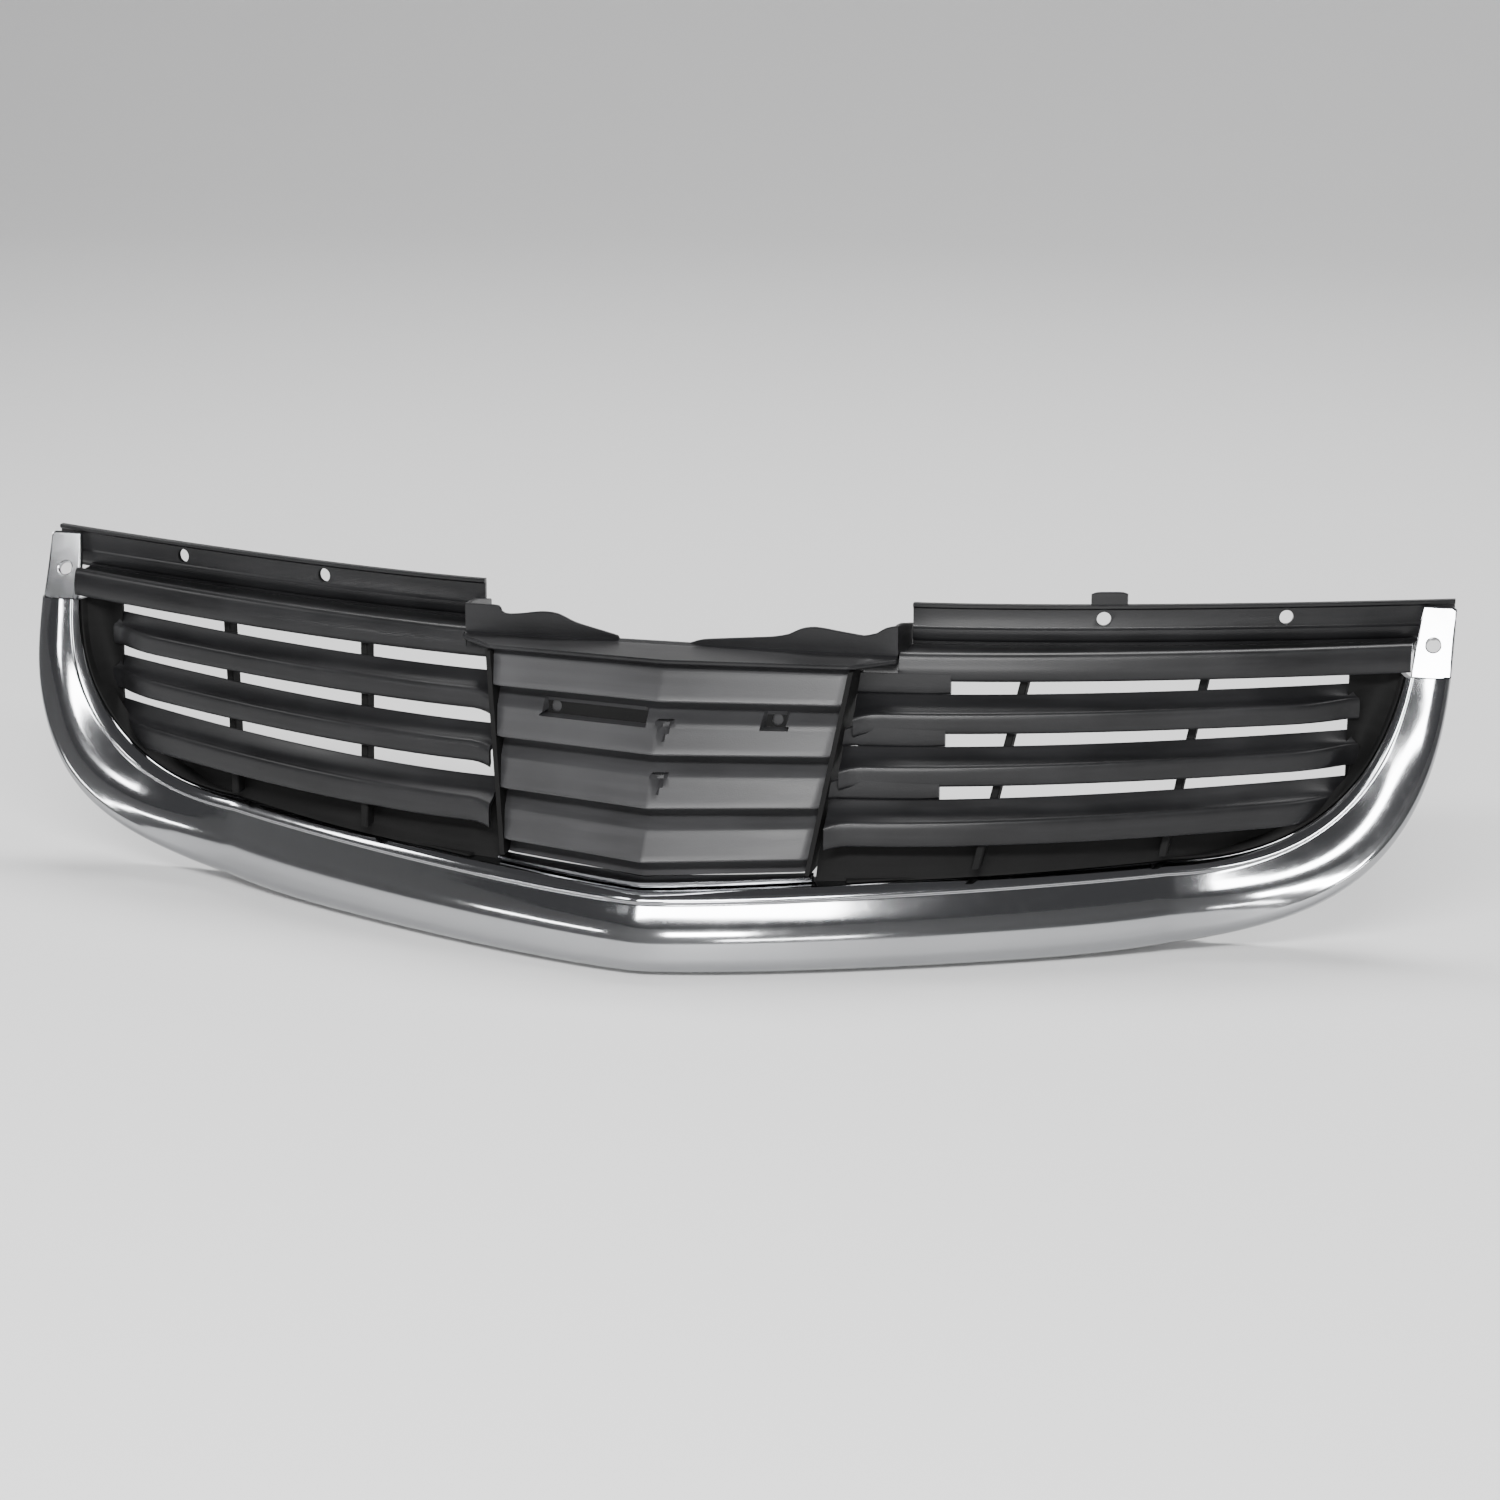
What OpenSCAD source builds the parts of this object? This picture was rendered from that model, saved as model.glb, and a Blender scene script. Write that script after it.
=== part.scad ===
// Front grille of a compact car: a swept black insert with a banded centre
// panel, six louvre slats and a bright U-shaped surround.
// Millimetres, Z up, front of the car towards -Y, origin under the middle of
// the part, on its lowest edge.

/* [Overall] */
// Width over the two upper corners
overall_w = 940; // [800:5:1100]
// Drop from the top edge of the flange to the lowest edge of the surround
overall_h = 208; // [180:2:250]
// How far the nose stands ahead of the inner ends of the flange
nose_reach = 140; // [110:1:170]
// How far the outer ends of the flange lie behind its inner ends
flange_sweep = 92; // [60:1:130]

/* [Surround] */
// Height of the bright band under the middle of the wings
band_h = 56; // [44:1:66]
// Width of the bright band at the top of each leg
leg_w = 25; // [18:1:32]
// Bulge of the band, as a share of its width
band_bulge = 0.30; // [0.20:0.01:0.36]
// Wall of the surround
band_wall = 3; // [2.4:0.1:4]
// Drop from the flange edge to the top end of each leg
leg_top_drop = 4; // [2:1:12]
// Depth of the walls that turn back from the band's edges
band_return = 13; // [12:1:18]
// Reach of the outer edge's corner curve, from the end of the part inwards
corner_outer_w = 270; // [220:5:310]
// Reach of the inner edge's corner curve, from the end of the part inwards
corner_inner_w = 165; // [150:5:230]
// How far the corners start ahead of the inner ends of the flange
corner_ahead = 16.7; // [5:0.1:30]

/* [Flange] */
// Height of the upright flange
flange_h = 26; // [20:1:34]
// Thickness of the flange and of the other plastic walls
wall = 3; // [2.2:0.1:4]
// Distance of the flange's inner ends from the middle
flange_inner_x = 140; // [125:1:160]
// Diameter of the clip holes in the flange
clip_hole_d = 9; // [6:0.5:11]
// Distance of the clip holes below the flange's top edge
clip_hole_drop = 9; // [8:0.5:16]
// Distance of the inner clip holes from the middle
clip_inner_x = 257; // [220:1:290]
// Distance of the outer clip holes from the ends of the part
clip_end_gap = 103; // [60:1:140]
// Width of the single tab above the right flange
tab_w = 22; // [14:1:32]
// Height of that tab
tab_h = 8; // [5:1:12]
// Distance of that tab from the middle
tab_x = 260; // [240:1:300]

/* [Louvres] */
// Vertical distance from one slat to the next
slat_pitch = 29.3; // [26:0.1:33]
// Height of one slat, from its rear edge down to its nose
slat_h = 21.5; // [15:0.5:22.5]
// Height of the lowest slat, which closes against the wall behind it
slat_h_last = 26; // [15:0.5:28]
// Depth of a slat at its inner end
slat_d_inner = 17; // [12:0.5:24]
// Depth of a slat at its outer end
slat_d_outer = 13; // [10:0.5:20]
// Thickness of a slat
slat_t = 3.2; // [2.6:0.1:4.5]
// Distance of the slats' outer ends from the ends of the part
slat_end_gap = 62; // [58:1:130]
// Distance from the middle up to which the slots of the right wing are closed
blank_x = 172; // [130:1:200]
// Thickness of a vertical rib
rib_t = 5; // [3:0.5:7]
// Depth of a vertical rib
rib_d = 14; // [8:1:20]
// Distance of the inner ribs from the middle, at the first slat
rib_inner_x = 214; // [180:1:240]
// Distance of the outer ribs from the middle, at the first slat
rib_outer_x = 321; // [290:1:350]

/* [Centre panel] */
// Half the width of the panel at its top edge
panel_half_top = 115; // [100:1:125]
// Half the width of the panel at its bottom edge
panel_half_bottom = 96; // [84:1:110]
// Number of stepped bands
bands = 4; // [3:1:5]
// Depth of each band's step
band_step = 14; // [8:0.5:18]
// Diameter of the locating holes for an emblem
emblem_hole_d = 7; // [4:0.5:8]
// Distance between the locating holes for an emblem
emblem_hole_gap = 142; // [100:2:160]
// Height of the groove that an emblem drops into
emblem_slot_h = 9; // [6:0.5:10]

/* [Fasteners] */
// Diameter of the hole in each ear of the surround
ear_hole_d = 9; // [6:0.5:11]
// Shank of a self-tapping screw
screw_d = 4.2; // [3.5:0.1:5]
// Head of a self-tapping screw
screw_head_d = 9; // [7:0.5:11]
// Clearance between parts that only meet
fit = 0.3; // [0.2:0.05:0.5]

/* [Hidden] */

$fn = 48;
black = "#2b2c2e";
grey = "#55575a";
bright = "#d9dcdf";
steel = "#9a9ea3";

half_w = overall_w / 2;
outer_straight = half_w - corner_outer_w;
inner_straight = half_w - corner_inner_w;
clip_outer_x = half_w - clip_end_gap;
slat_outer_x = half_w - slat_end_gap;
inner_drop = overall_h - band_h;
inner_half_w = half_w - leg_w;

// ---- plan curves, y grows towards the rear, 0 at the flange's inner ends ----

// Sweep of the surround behind its nose: steeper away from the middle
function sweep(x) =
    let (a = min(abs(x), inner_straight))
    (nose_reach - corner_ahead) * pow(a / inner_straight, 1.362)
        + 0.36 * max(abs(x) - inner_straight, 0);
// The legs lean back above this level; the bend is spread over leg_soft
leg_lean_z = -85;
leg_lean = 0.5;
leg_soft = 24;
function band_y(x, z) = let (d = z - leg_lean_z)
    -nose_reach + sweep(x) + leg_lean * (d + norm([d, leg_soft])) / 2;
// Angle of the surround's plan curve
function sweep_angle(x) = sign(x) * atan((sweep(abs(x) + 1) - sweep(max(abs(x) - 1, 0)))
    / (abs(x) + 1 - max(abs(x) - 1, 0)));
// Front face of the flange
function flange_y(x) =
    flange_sweep * pow(max(abs(x) - flange_inner_x, 0) / (half_w - flange_inner_x), 1.35);
function flange_angle(x) = sign(x) * atan(flange_y(abs(x) + 1) - flange_y(abs(x)));

// Rear edge of slat row k at x; row 0 is the top rail
rear_in = -30;
rear_out = 52;
row_top_z = -48;
// The louvres lean forward by row_lean in each lean_step of height, so that
// their plane comes out at the lip of the surround
lean_step = 29.3;
row_lean = (nose_reach - 58.1) / (1 + (inner_drop + row_top_z) / lean_step);
row_lean_out = 2;
slat_x0 = 105;
function rear_y(k, x) =
    let (t = max(abs(x) - slat_x0, 0) / (slat_outer_x - slat_x0),
        n = 1 + (k - 1) * slat_pitch / lean_step)
    rear_in - row_lean * n + (rear_out - rear_in + (row_lean - row_lean_out) * n) * pow(t, 1.5);
function rear_z(k) = row_top_z - slat_pitch * (k - 1);
function slat_depth(x) = let (t = max(abs(x) - slat_x0, 0) / (slat_outer_x - slat_x0))
    slat_d_inner + (slat_d_outer - slat_d_inner) * t;

// Side edge of the centre panel
panel_top_z = -28;
panel_bottom_z = 2 - inner_drop;
function edge_x(z) = panel_half_top
    + (panel_half_bottom - panel_half_top) * (z - panel_top_z) / (panel_bottom_z - panel_top_z);
function panel_share(z) = (panel_top_z - z) / (panel_top_z - panel_bottom_z);
function edge_y(z) = lerp(-72.4, 31 - nose_reach, panel_share(z));
// Crease of the centre panel, which runs out to the nose of the surround
function crease_y(z) = lerp(-84.9, -1 - nose_reach, panel_share(z));

// ---- lofts: each station is [front points, back points] ----

function lerp(a, b, t) = a + (b - a) * t;
function ring(st) = concat(st[0], [for (i = [len(st[1]) - 1:-1:0]) st[1][i]]);
module loft(stations) {
    m = len(stations[0][0]);
    n = 2 * m;
    rings = [for (st = stations) ring(st)];
    pts = [for (r = rings) each r];
    last = (len(stations) - 1) * n;
    sides = [for (s = [0:len(stations) - 2]) for (i = [0:n - 1])
        let (a = s * n + i, b = s * n + (i + 1) % n)
        each [[a, a + n, b + n], [a, b + n, b]]];
    start_cap = [for (i = [0:m - 2]) each [[i, i + 1, n - 2 - i], [i, n - 2 - i, n - 1 - i]]];
    end_cap = [for (t = start_cap) [last + t[2], last + t[1], last + t[0]]];
    polyhedron(points = pts, faces = concat(sides, start_cap, end_cap), convexity = 8);
}

// A wall that follows a plan curve: from front(x) to front(x) + t, between two levels
module curved_wall(xs, fronts, t, z0, z1) {
    translate([0, 0, z0])
        linear_extrude(height = z1 - z0)
            polygon(concat(
                [for (i = [0:len(xs) - 1]) [xs[i], fronts[i]]],
                [for (i = [len(xs) - 1:-1:0]) [xs[i], fronts[i] + t]]));
}
module side(s) {
    if (s > 0) children();
    else mirror([1, 0, 0]) children();
}
function steps(a, b, n) = [for (i = [0:n]) lerp(a, b, i / n)];

// ---- surround ----

corner_power_out = 3.1;
corner_power_in = 2.4;
lip_rise_mid = 5;
function super_x(a, p, t) = a * pow(sin(t), 2 / p);
function super_z(b, p, t) = -b * pow(cos(t), 2 / p);
// The ears stand on the legs, which end at this height
ear_h = 39;
ear_z = -leg_top_drop - ear_h;
// Path stations: u from 0 (middle) to 1 (end of the inner straight run) to 2 (top of the leg)
outer_reach = half_w - outer_straight;
outer_t1 = asin(pow(max(inner_straight - outer_straight, 0) / outer_reach, corner_power_out / 2));
outer_t2 = acos(pow(-ear_z / overall_h, corner_power_out / 2));
inner_t2 = acos(pow(-ear_z / inner_drop, corner_power_in / 2));
function outer_xz(u) = u <= 1
    ? let (x = inner_straight * u, r = max(x - outer_straight, 0) / outer_reach)
      [x, -overall_h * pow(1 - pow(r, corner_power_out), 1 / corner_power_out)]
    : let (t = lerp(outer_t1, outer_t2, u - 1))
      [outer_straight + super_x(outer_reach, corner_power_out, t),
       super_z(overall_h, corner_power_out, t)];
function inner_xz(u) = u <= 1 ? [inner_straight * u, -inner_drop + lip_rise_mid * (u - 1)]
    : let (t = inner_t2 * (u - 1))
      [inner_straight + super_x(inner_half_w - inner_straight, corner_power_in, t),
       super_z(inner_drop, corner_power_in, t)];
// The outer edge stands forward of the plan curve round each corner
corner_push = 16;
function push(u) = u <= 1 ? 0 : corner_push * pow(sin(180 * (u - 1)), 2);
// Across the band: [share of the width from the inner lip, share of the bulge]
band_profile = [
    [0.00, -1, 1], [0.00, 0.00, 0], [0.05, 0.26, 0], [0.13, 0.44, 0], [0.17, 0.40, 0], [0.28, 0.66, 0],
    [0.42, 0.86, 0], [0.58, 0.97, 0], [0.72, 1.00, 0], [0.83, 0.90, 0], [0.92, 0.62, 0],
    [0.98, 0.22, 0], [1.00, -0.10, 0], [1.00, -1, 1]
];
function band_station(u, s) =
    let (
        o = outer_xz(u), i = inner_xz(u),
        w = norm(o - i),
        po = [s * o[0], band_y(o[0], o[1]) - push(u), o[1]],
        pi = [s * i[0], band_y(i[0], i[1]), i[1]],
        a = s * sweep_angle((o[0] + i[0]) / 2),
        f = [sin(a), -cos(a), 0],
        bulge = band_bulge * w,
        inset = band_wall / w
    )
    [
        [for (q = band_profile) pi + (po - pi) * q[0]
            + f * (q[2] == 1 ? -band_return : q[1] * bulge)],
        [for (q = band_profile) pi + (po - pi) * lerp(inset, 1 - inset, q[0])
            + f * (q[2] == 1 ? -band_return : q[1] * bulge - band_wall)]
    ];
band_us = concat(steps(0, 1, 12), [for (i = [1:22]) 1 + i / 22]);
boss_us = [0.2, 0.52, 0.84];
boss_d = 9;
boss_share = 0.52;
// Middle of the band's path at u, and the bulge of the band there
function boss_at(u) =
    let (o = outer_xz(u), i = inner_xz(u), xz = lerp(i, o, boss_share))
    [xz[0], band_y(xz[0], xz[1]), xz[1], band_bulge * norm(o - i)];
// Children stand on the carrier's front, pointing forward
module surround_bosses() {
    for (s = [-1, 1]) for (u = boss_us) {
        b = boss_at(u);
        translate([s * b[0], b[1], b[2]])
            rotate([0, 0, s * sweep_angle(b[0])])
                rotate([90, 0, 0])
                    translate([0, 0, -band_return])
                        children();
    }
}
// The bosses run from the back of the returns into the skin of the band
boss_l = band_return + band_bulge * band_h * 0.85;
module chrome_surround() {
    color(bright)
        difference() {
            union() {
                loft(concat(
                    [for (i = [len(band_us) - 1:-1:1]) band_station(band_us[i], -1)],
                    [for (u = band_us) band_station(u, 1)]));
                surround_bosses() cylinder(d = boss_d, h = boss_l);
            }
            surround_bosses() translate([0, 0, -1]) cylinder(d = screw_d + 2 * seat, h = boss_l - 4);
        }
}
// Cap on top of each leg with a flat ear that carries the fixing hole
ear_x = half_w - leg_w / 2;
ear_t = 4;
ear_hole_up = 18;
ear_cap_t = 2.5;
module ear() {
    lean = atan(leg_lean);
    up = ear_h / cos(lean);
    half = leg_w / 2;
    base_y = band_y(half_w, ear_z);
    color(bright) union() {
        translate([ear_x - half + fit, base_y - ear_t, ear_z + seat])
            cube([leg_w - 2 * fit, ear_t + band_return - fit, ear_cap_t]);
        translate([ear_x, base_y, ear_z + seat])
            rotate([90 - lean, 0, 0])
                difference() {
                    linear_extrude(height = ear_t)
                        polygon([[-half + fit, 0], [half - fit, 0], [half, up], [-half * 0.6, up]]);
                    translate([0, ear_hole_up, ear_t / 2])
                        cylinder(d = ear_hole_d, h = 2 * ear_t, center = true);
                }
    }
}

// ---- flanges and rails ----

flange_x1 = half_w - 2;
flange_xs = steps(flange_inner_x, flange_x1, 22);
module flange_holes() {
    for (x = [clip_inner_x, clip_outer_x])
        translate([x, flange_y(x), -clip_hole_drop])
            rotate([0, 0, flange_angle(x)])
                rotate([90, 0, 0])
                    cylinder(d = clip_hole_d, h = 8 * wall, center = true);
}
module flange(with_tab) {
    color(black)
        difference() {
            union() {
                curved_wall(flange_xs, [for (x = flange_xs) flange_y(x)], wall, -flange_h, 0);
                curved_wall(flange_xs, [for (x = flange_xs) flange_y(x) - 1.2], wall, -2.4, 0);
                if (with_tab) {
                    txs = steps(tab_x - tab_w / 2, tab_x + tab_w / 2, 2);
                    curved_wall(txs, [for (x = txs) flange_y(x)], wall, -2, tab_h);
                }
            }
            flange_holes();
        }
}
// The rail: a floor that runs forward from the foot of the flange, then a face
rail_nose_z = rear_z(1) + slat_pitch - slat_h;
rail_face_h = 17;
rail_x1 = leg_inner_x(rail_nose_z) - fit;
function rail_y(x) = rear_y(0, x) - slat_depth(x);
rail_xs = steps(flange_inner_x, rail_x1, 22);
rail_x0 = edge_x(panel_top_z) + wall + fit;
// Under the bridge the face is cut down to pass below the shelf
face_xs = concat([rail_x0, flange_inner_x - fit], steps(flange_inner_x, blank_x, 3),
    steps(blank_x + 0.4, rail_x1, 20));
function face_h(x) = x < flange_inner_x - fit / 2 ? shelf_z - seat - rail_nose_z : rail_face_h;
// Section of the face: [set back, share of the height, shares of slat_t back and down]
rail_profile = [[9, 1, 0, 1], [4, 0.91, 0.8, 1], [0.5, 0.45, 1, 0], [0, 0.09, 1, 0], [1.2, 0, 0.6, 0]];
module rail(closed) {
    color(black) union() {
        translate([0, 0, -flange_h - wall])
            linear_extrude(height = wall)
                polygon(concat(
                    [for (x = rail_xs) [x, rail_y(x) + 2]],
                    [for (i = [len(rail_xs) - 1:-1:0]) [rail_xs[i], flange_y(rail_xs[i]) + wall]]));
        loft([for (x = face_xs) let (h = face_h(x), low = closed ? nose_drop(0, x) : 0)
            [[for (q = rail_profile) [x, rail_y(x) + q[0], rail_nose_z + q[1] * h - (q[1] == 0 ? low : 0)]],
             [for (q = rail_profile) [x, rail_y(x) + q[0] + q[2] * slat_t,
                 rail_nose_z + q[1] * h - q[3] * slat_t - (q[1] == 0 ? low : 0)]]]]);
    }
}

// ---- louvres ----

rows = 3;
function slat_height(k) = k == rows ? slat_h_last : slat_h;
// Next to the panel the right noses run down to the slat below
function nose_drop(k, x) = k < rows && x < blank_x + 0.1 ? slat_pitch - slat_height(k) - fit : 0;
function slat_start(k) = edge_x(rear_z(k)) + wall + fit;
// Section of a slat from its rear edge to its nose:
// [share of the depth, share of the height, shares of slat_t back and down]
slat_profile = [[0, 0, 0, 1], [0.30, 0.14, 0.1, 1], [0.62, 0.34, 0.7, 1],
    [0.86, 0.60, 1, 0.4], [1, 0.88, 1, 0], [0.94, 1, 0.7, 0]];
module slat(k, closed) {
    z = rear_z(k);
    h = slat_height(k);
    color(black)
        loft([for (x = concat(steps(slat_start(k), blank_x, 5), steps(blank_x + 0.4, slat_outer_x, 20)))
            let (y = rear_y(k, x), d = slat_depth(x), low = closed ? nose_drop(k, x) : 0)
            [[for (q = slat_profile) [x, y - q[0] * d, z - q[1] * h - (q[1] == 1 ? low : 0)]],
             [for (q = slat_profile) [x, y - q[0] * d + q[2] * slat_t,
                 z - q[1] * h - q[3] * slat_t - (q[1] == 1 ? low : 0)]]]]);
}
// A rib leans in a little towards the foot, like the panel's sides
rib_lean = 5;
rib_foot_row = row_of(5.85 - inner_drop);
seat = 0.1;
module rib(x1) {
    k0 = 0.45;
    k1 = rib_foot_row;
    color(black)
        loft([for (k = [k1, k0])
            let (x = x1 - rib_lean * (k - 1), z = rear_z(k), y = rear_y(k, x) + seat)
            [[[x - rib_t / 2, y, z], [x + rib_t / 2, y + 1.5, z]],
             [[x - rib_t / 2, y + rib_d, z], [x + rib_t / 2, y + rib_d, z]]]]);
}
// Closed wall behind the lowest row, against the backs of the ribs; its foot
// follows the surround's inner lip, and drops where the wall stands behind it
baffle_row_top = 3.3;
baffle_row_foot = 4.5;
baffle_foot_drop = 1.2;
baffle_xs = steps(edge_x(panel_bottom_z) + wall + 2, slat_outer_x - 16, 20);
function row_of(z) = 1 + (rear_z(1) - z) / slat_pitch;
function baffle_y(k, x) = rear_y(k, x) + rib_d + 2 * seat;
// The inner end follows the leaning side of the centre
function baffle_x(k, x) = max(x, edge_x(rear_z(k)) + wall + fit);
function lip_z(x) = x < inner_straight ? -inner_drop + lip_rise_mid * (x / inner_straight - 1)
    : super_z(inner_drop, corner_power_in,
        asin(pow((x - inner_straight) / (inner_half_w - inner_straight), corner_power_in / 2)));
function baffle_foot(x) = lip_z(x) + 2 * seat
    - baffle_foot_drop * max(baffle_y(baffle_row_foot, x) - band_y(x, lip_z(x)) - band_return, 0);
module baffle() {
    color(black)
        loft([for (x = baffle_xs)
            let (ks = [baffle_row_top, row_of(baffle_foot(x))])
            [[for (k = ks) [baffle_x(k, x), baffle_y(k, x), rear_z(k)]],
             [for (k = ks) [baffle_x(k, x), baffle_y(k, x) + wall, rear_z(k)]]]]);
}
// End wall between the slats and the leg of the surround
cheek_z0 = -flange_h - wall - seat;
cheek_z1 = 46 - inner_drop;
cheek_min_w = 4;
function leg_inner_x(z) = inner_straight + super_x(inner_half_w - inner_straight, corner_power_in,
    acos(pow(min(-z, inner_drop) / inner_drop, corner_power_in / 2)));
module end_cheek() {
    x0 = slat_outer_x + seat;
    color(black)
        loft([for (z = steps(cheek_z0, cheek_z1, 8))
            let (y = rear_y(1 - (z - rear_z(1)) / slat_pitch, slat_outer_x) - 3,
                x_leg = leg_inner_x(z) - fit - (band_return / 2 + wall) * tan(sweep_angle(half_w)),
                x1 = max(x_leg, x0 + cheek_min_w),
                y1 = band_y(x1, z) + band_return / 2)
            [[[x1, y1, z], [x0, y, z]], [[x1, y1 + wall, z], [x0, y + wall + 10, z]]]]);
}

// ---- centre ----

band_pitch = (panel_top_z - panel_bottom_z) / bands;
panel_back = 5;
// The groove for the emblem crosses the step between the first two bands
emblem_z = panel_top_z - 1.08 * band_pitch;
emblem_floor = 3;
emblem_hole_y = lerp(crease_y(emblem_z), edge_y(emblem_z), emblem_hole_gap / 2 / edge_x(emblem_z))
    + band_step + panel_back - emblem_floor;
panel_angle = atan((edge_y(emblem_z) - crease_y(emblem_z)) / edge_x(emblem_z));
// Section of one band: [share of the pitch, share of the step set back]
band_levels = [[0, 1], [0.06, 0.92], [0.20, 0.36], [0.74, 0], [0.81, 0.12]];
module centre_panel() {
    levels = [for (b = [0:bands - 1]) for (q = band_levels)
        [panel_top_z - (b + q[0]) * band_pitch, q[1]]];
    stations = [-1, 0, 1];
    color(grey)
        difference() {
            loft([for (s = stations)
                [[for (l = levels) let (z = l[0], x = s * (edge_x(z) - fit),
                      y = s == 0 ? crease_y(z) : edge_y(z))
                      [x, y + l[1] * band_step, z]],
                 [for (l = levels) let (z = l[0], x = s * (edge_x(z) - fit),
                      y = s == 0 ? crease_y(z) : edge_y(z))
                      [x, y + band_step + panel_back, z]]]]);
            // blind holes for the emblem's pins
            for (s = [-1, 1])
                translate([s * emblem_hole_gap / 2, emblem_hole_y, emblem_z])
                    rotate([90, 0, 0])
                        cylinder(d = emblem_hole_d, h = cheek_d);
            // the groove follows the V of the panel
            for (s = [0, 1])
                mirror([s, 0, 0])
                    translate([0, crease_y(emblem_z), emblem_z - emblem_slot_h / 2])
                        rotate([0, 0, panel_angle])
                            translate([-emblem_hole_d, -band_step, 0])
                                cube([emblem_hole_gap / 2 + 2 * emblem_hole_d, 2 * band_step - 1,
                                    emblem_slot_h]);
        }
}
cheek_d = 46;
module centre_cheek() {
    color(black)
        loft([for (i = [0:1])
            let (z = i == 0 ? panel_top_z - 1 : panel_bottom_z, x = edge_x(z), y = edge_y(z))
            [[[x + wall, y, z], [x + wall, y + cheek_d, z]], [[x, y, z], [x, y + cheek_d, z]]]]);
}
// Shelf over the panel with an upstand that carries two low humps
bridge_y = -44;
bridge_half = flange_inner_x - fit;
hump_x = 86;
hump_r = 26;
hump_top = -8.5;
notch_z = panel_top_z + 1;
shelf_z = panel_top_z + seat;
module bridge_outline() {
    union() {
        polygon([[-bridge_half, shelf_z], [-bridge_half, -6], [-bridge_half + 22, -6],
            [-bridge_half + 23, -11.5], [-hump_x, -11], [-hump_x + 20, -15.5], [-39, -21.5],
            [-39, notch_z + wall - 1], [1, notch_z + wall - 1], [9, -22], [15, -20.5],
            [hump_x - 18, -16], [hump_x, -11], [bridge_half - 17, -13], [bridge_half - 7, -6],
            [bridge_half, -5], [bridge_half, shelf_z]]);
        for (s = [-1, 1])
            intersection() {
                translate([s * hump_x, hump_top - hump_r]) circle(r = hump_r);
                translate([s * hump_x - hump_r, shelf_z]) square([2 * hump_r, 40]);
            }
    }
}
module centre_bridge() {
    shoulder_y = bridge_y - 6;
    color(black) union() {
        translate([0, 0, shelf_z])
            linear_extrude(height = wall)
                polygon([[-bridge_half, shoulder_y], [-panel_half_top, edge_y(panel_top_z)],
                    [0, crease_y(panel_top_z)], [panel_half_top, edge_y(panel_top_z)],
                    [bridge_half, shoulder_y], [bridge_half, bridge_y + wall],
                    [-bridge_half, bridge_y + wall]]);
        translate([0, bridge_y + wall, 0])
            rotate([90, 0, 0])
                linear_extrude(height = wall)
                    bridge_outline();
        // Side walls run back to the inner ends of the flanges
        for (s = [0, 1])
            mirror([s, 0, 0])
                translate([bridge_half - wall, 0, 0])
                    rotate([90, 0, 90])
                        linear_extrude(height = wall)
                            polygon([[bridge_y, shelf_z], [wall, shelf_z], [wall, -14],
                                [bridge_y + wall, -6], [bridge_y, -6]]);
    }
}
// Bright double step that fills the gap between the panel's foot and the band:
// [share of the gap's height, set back from the front edge]
ledge_steps = [[0, 0], [0.35, 1.5], [0.45, 7], [0.9, 8], [1, 13]];
ledge_x = panel_half_bottom + 4;
ledge_d = 20;
ledge_side_share = 0.55;
module centre_ledge() {
    top = panel_bottom_z - fit;
    color(bright)
        loft([for (s = [-1, 0, 1])
            let (x = s * ledge_x, h = top - lip_z(abs(x)) - fit,
                 y = band_y(x, -inner_drop) + band_return - fit, reach = s == 0 ? 1 : ledge_side_share)
            [[for (q = ledge_steps) [x, y - reach * (ledge_d - q[1]), top - q[0] * h]],
             [for (q = ledge_steps) [x, y, top - q[0] * h]]]]);
}

// ---- what carries the surround, behind it ----

carrier_xs = steps(fit / 2, inner_straight + 20, 20);
carrier_z0 = -overall_h + 6;
carrier_z1 = -inner_drop - 2;
function carrier_y(x) = band_y(x, carrier_z1) + (band_return + fit) / cos(sweep_angle(x));
module carrier() {
    color(black)
        difference() {
            curved_wall(carrier_xs, [for (x = carrier_xs) carrier_y(x)], wall, carrier_z0, carrier_z1);
            surround_bosses()
                cylinder(d = screw_d + 2 * fit, h = 8 * wall, center = true);
        }
}
// Screws drive forward through the carrier into the bosses of the surround
screw_l = 14;
screw_head_h = 2.6;
module screws() {
    color(steel)
        surround_bosses()
            translate([0, 0, -wall - 2 * fit - screw_head_h])
                union() {
                    cylinder(d = screw_head_d, h = screw_head_h);
                    cylinder(d = screw_d, h = screw_head_h + screw_l);
                }
}
// Tongues that hook into the bumper below
tongue_w = 18;
tongue_l = 20;
tongue_x = [95, 235];
module tabs() {
    color(black)
        for (s = [-1, 1]) for (x = tongue_x)
            translate([s * x, carrier_y(x) + wall, carrier_z0 + 3])
                rotate([0, 0, s * sweep_angle(x)])
                    translate([-tongue_w / 2, fit, 0])
                        cube([tongue_w, tongue_l, wall]);
}

// Moves the middle of the part's depth and its lowest edge to the origin
nose_share = 0.72;
module place() {
    front = lerp(band_y(0, -inner_drop - lip_rise_mid), band_y(0, -overall_h), nose_share)
        - band_bulge * (band_h - lip_rise_mid);
    rear = flange_y(flange_x1) + wall;
    translate([0, -(front + rear) / 2, overall_h]) children();
}

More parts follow.
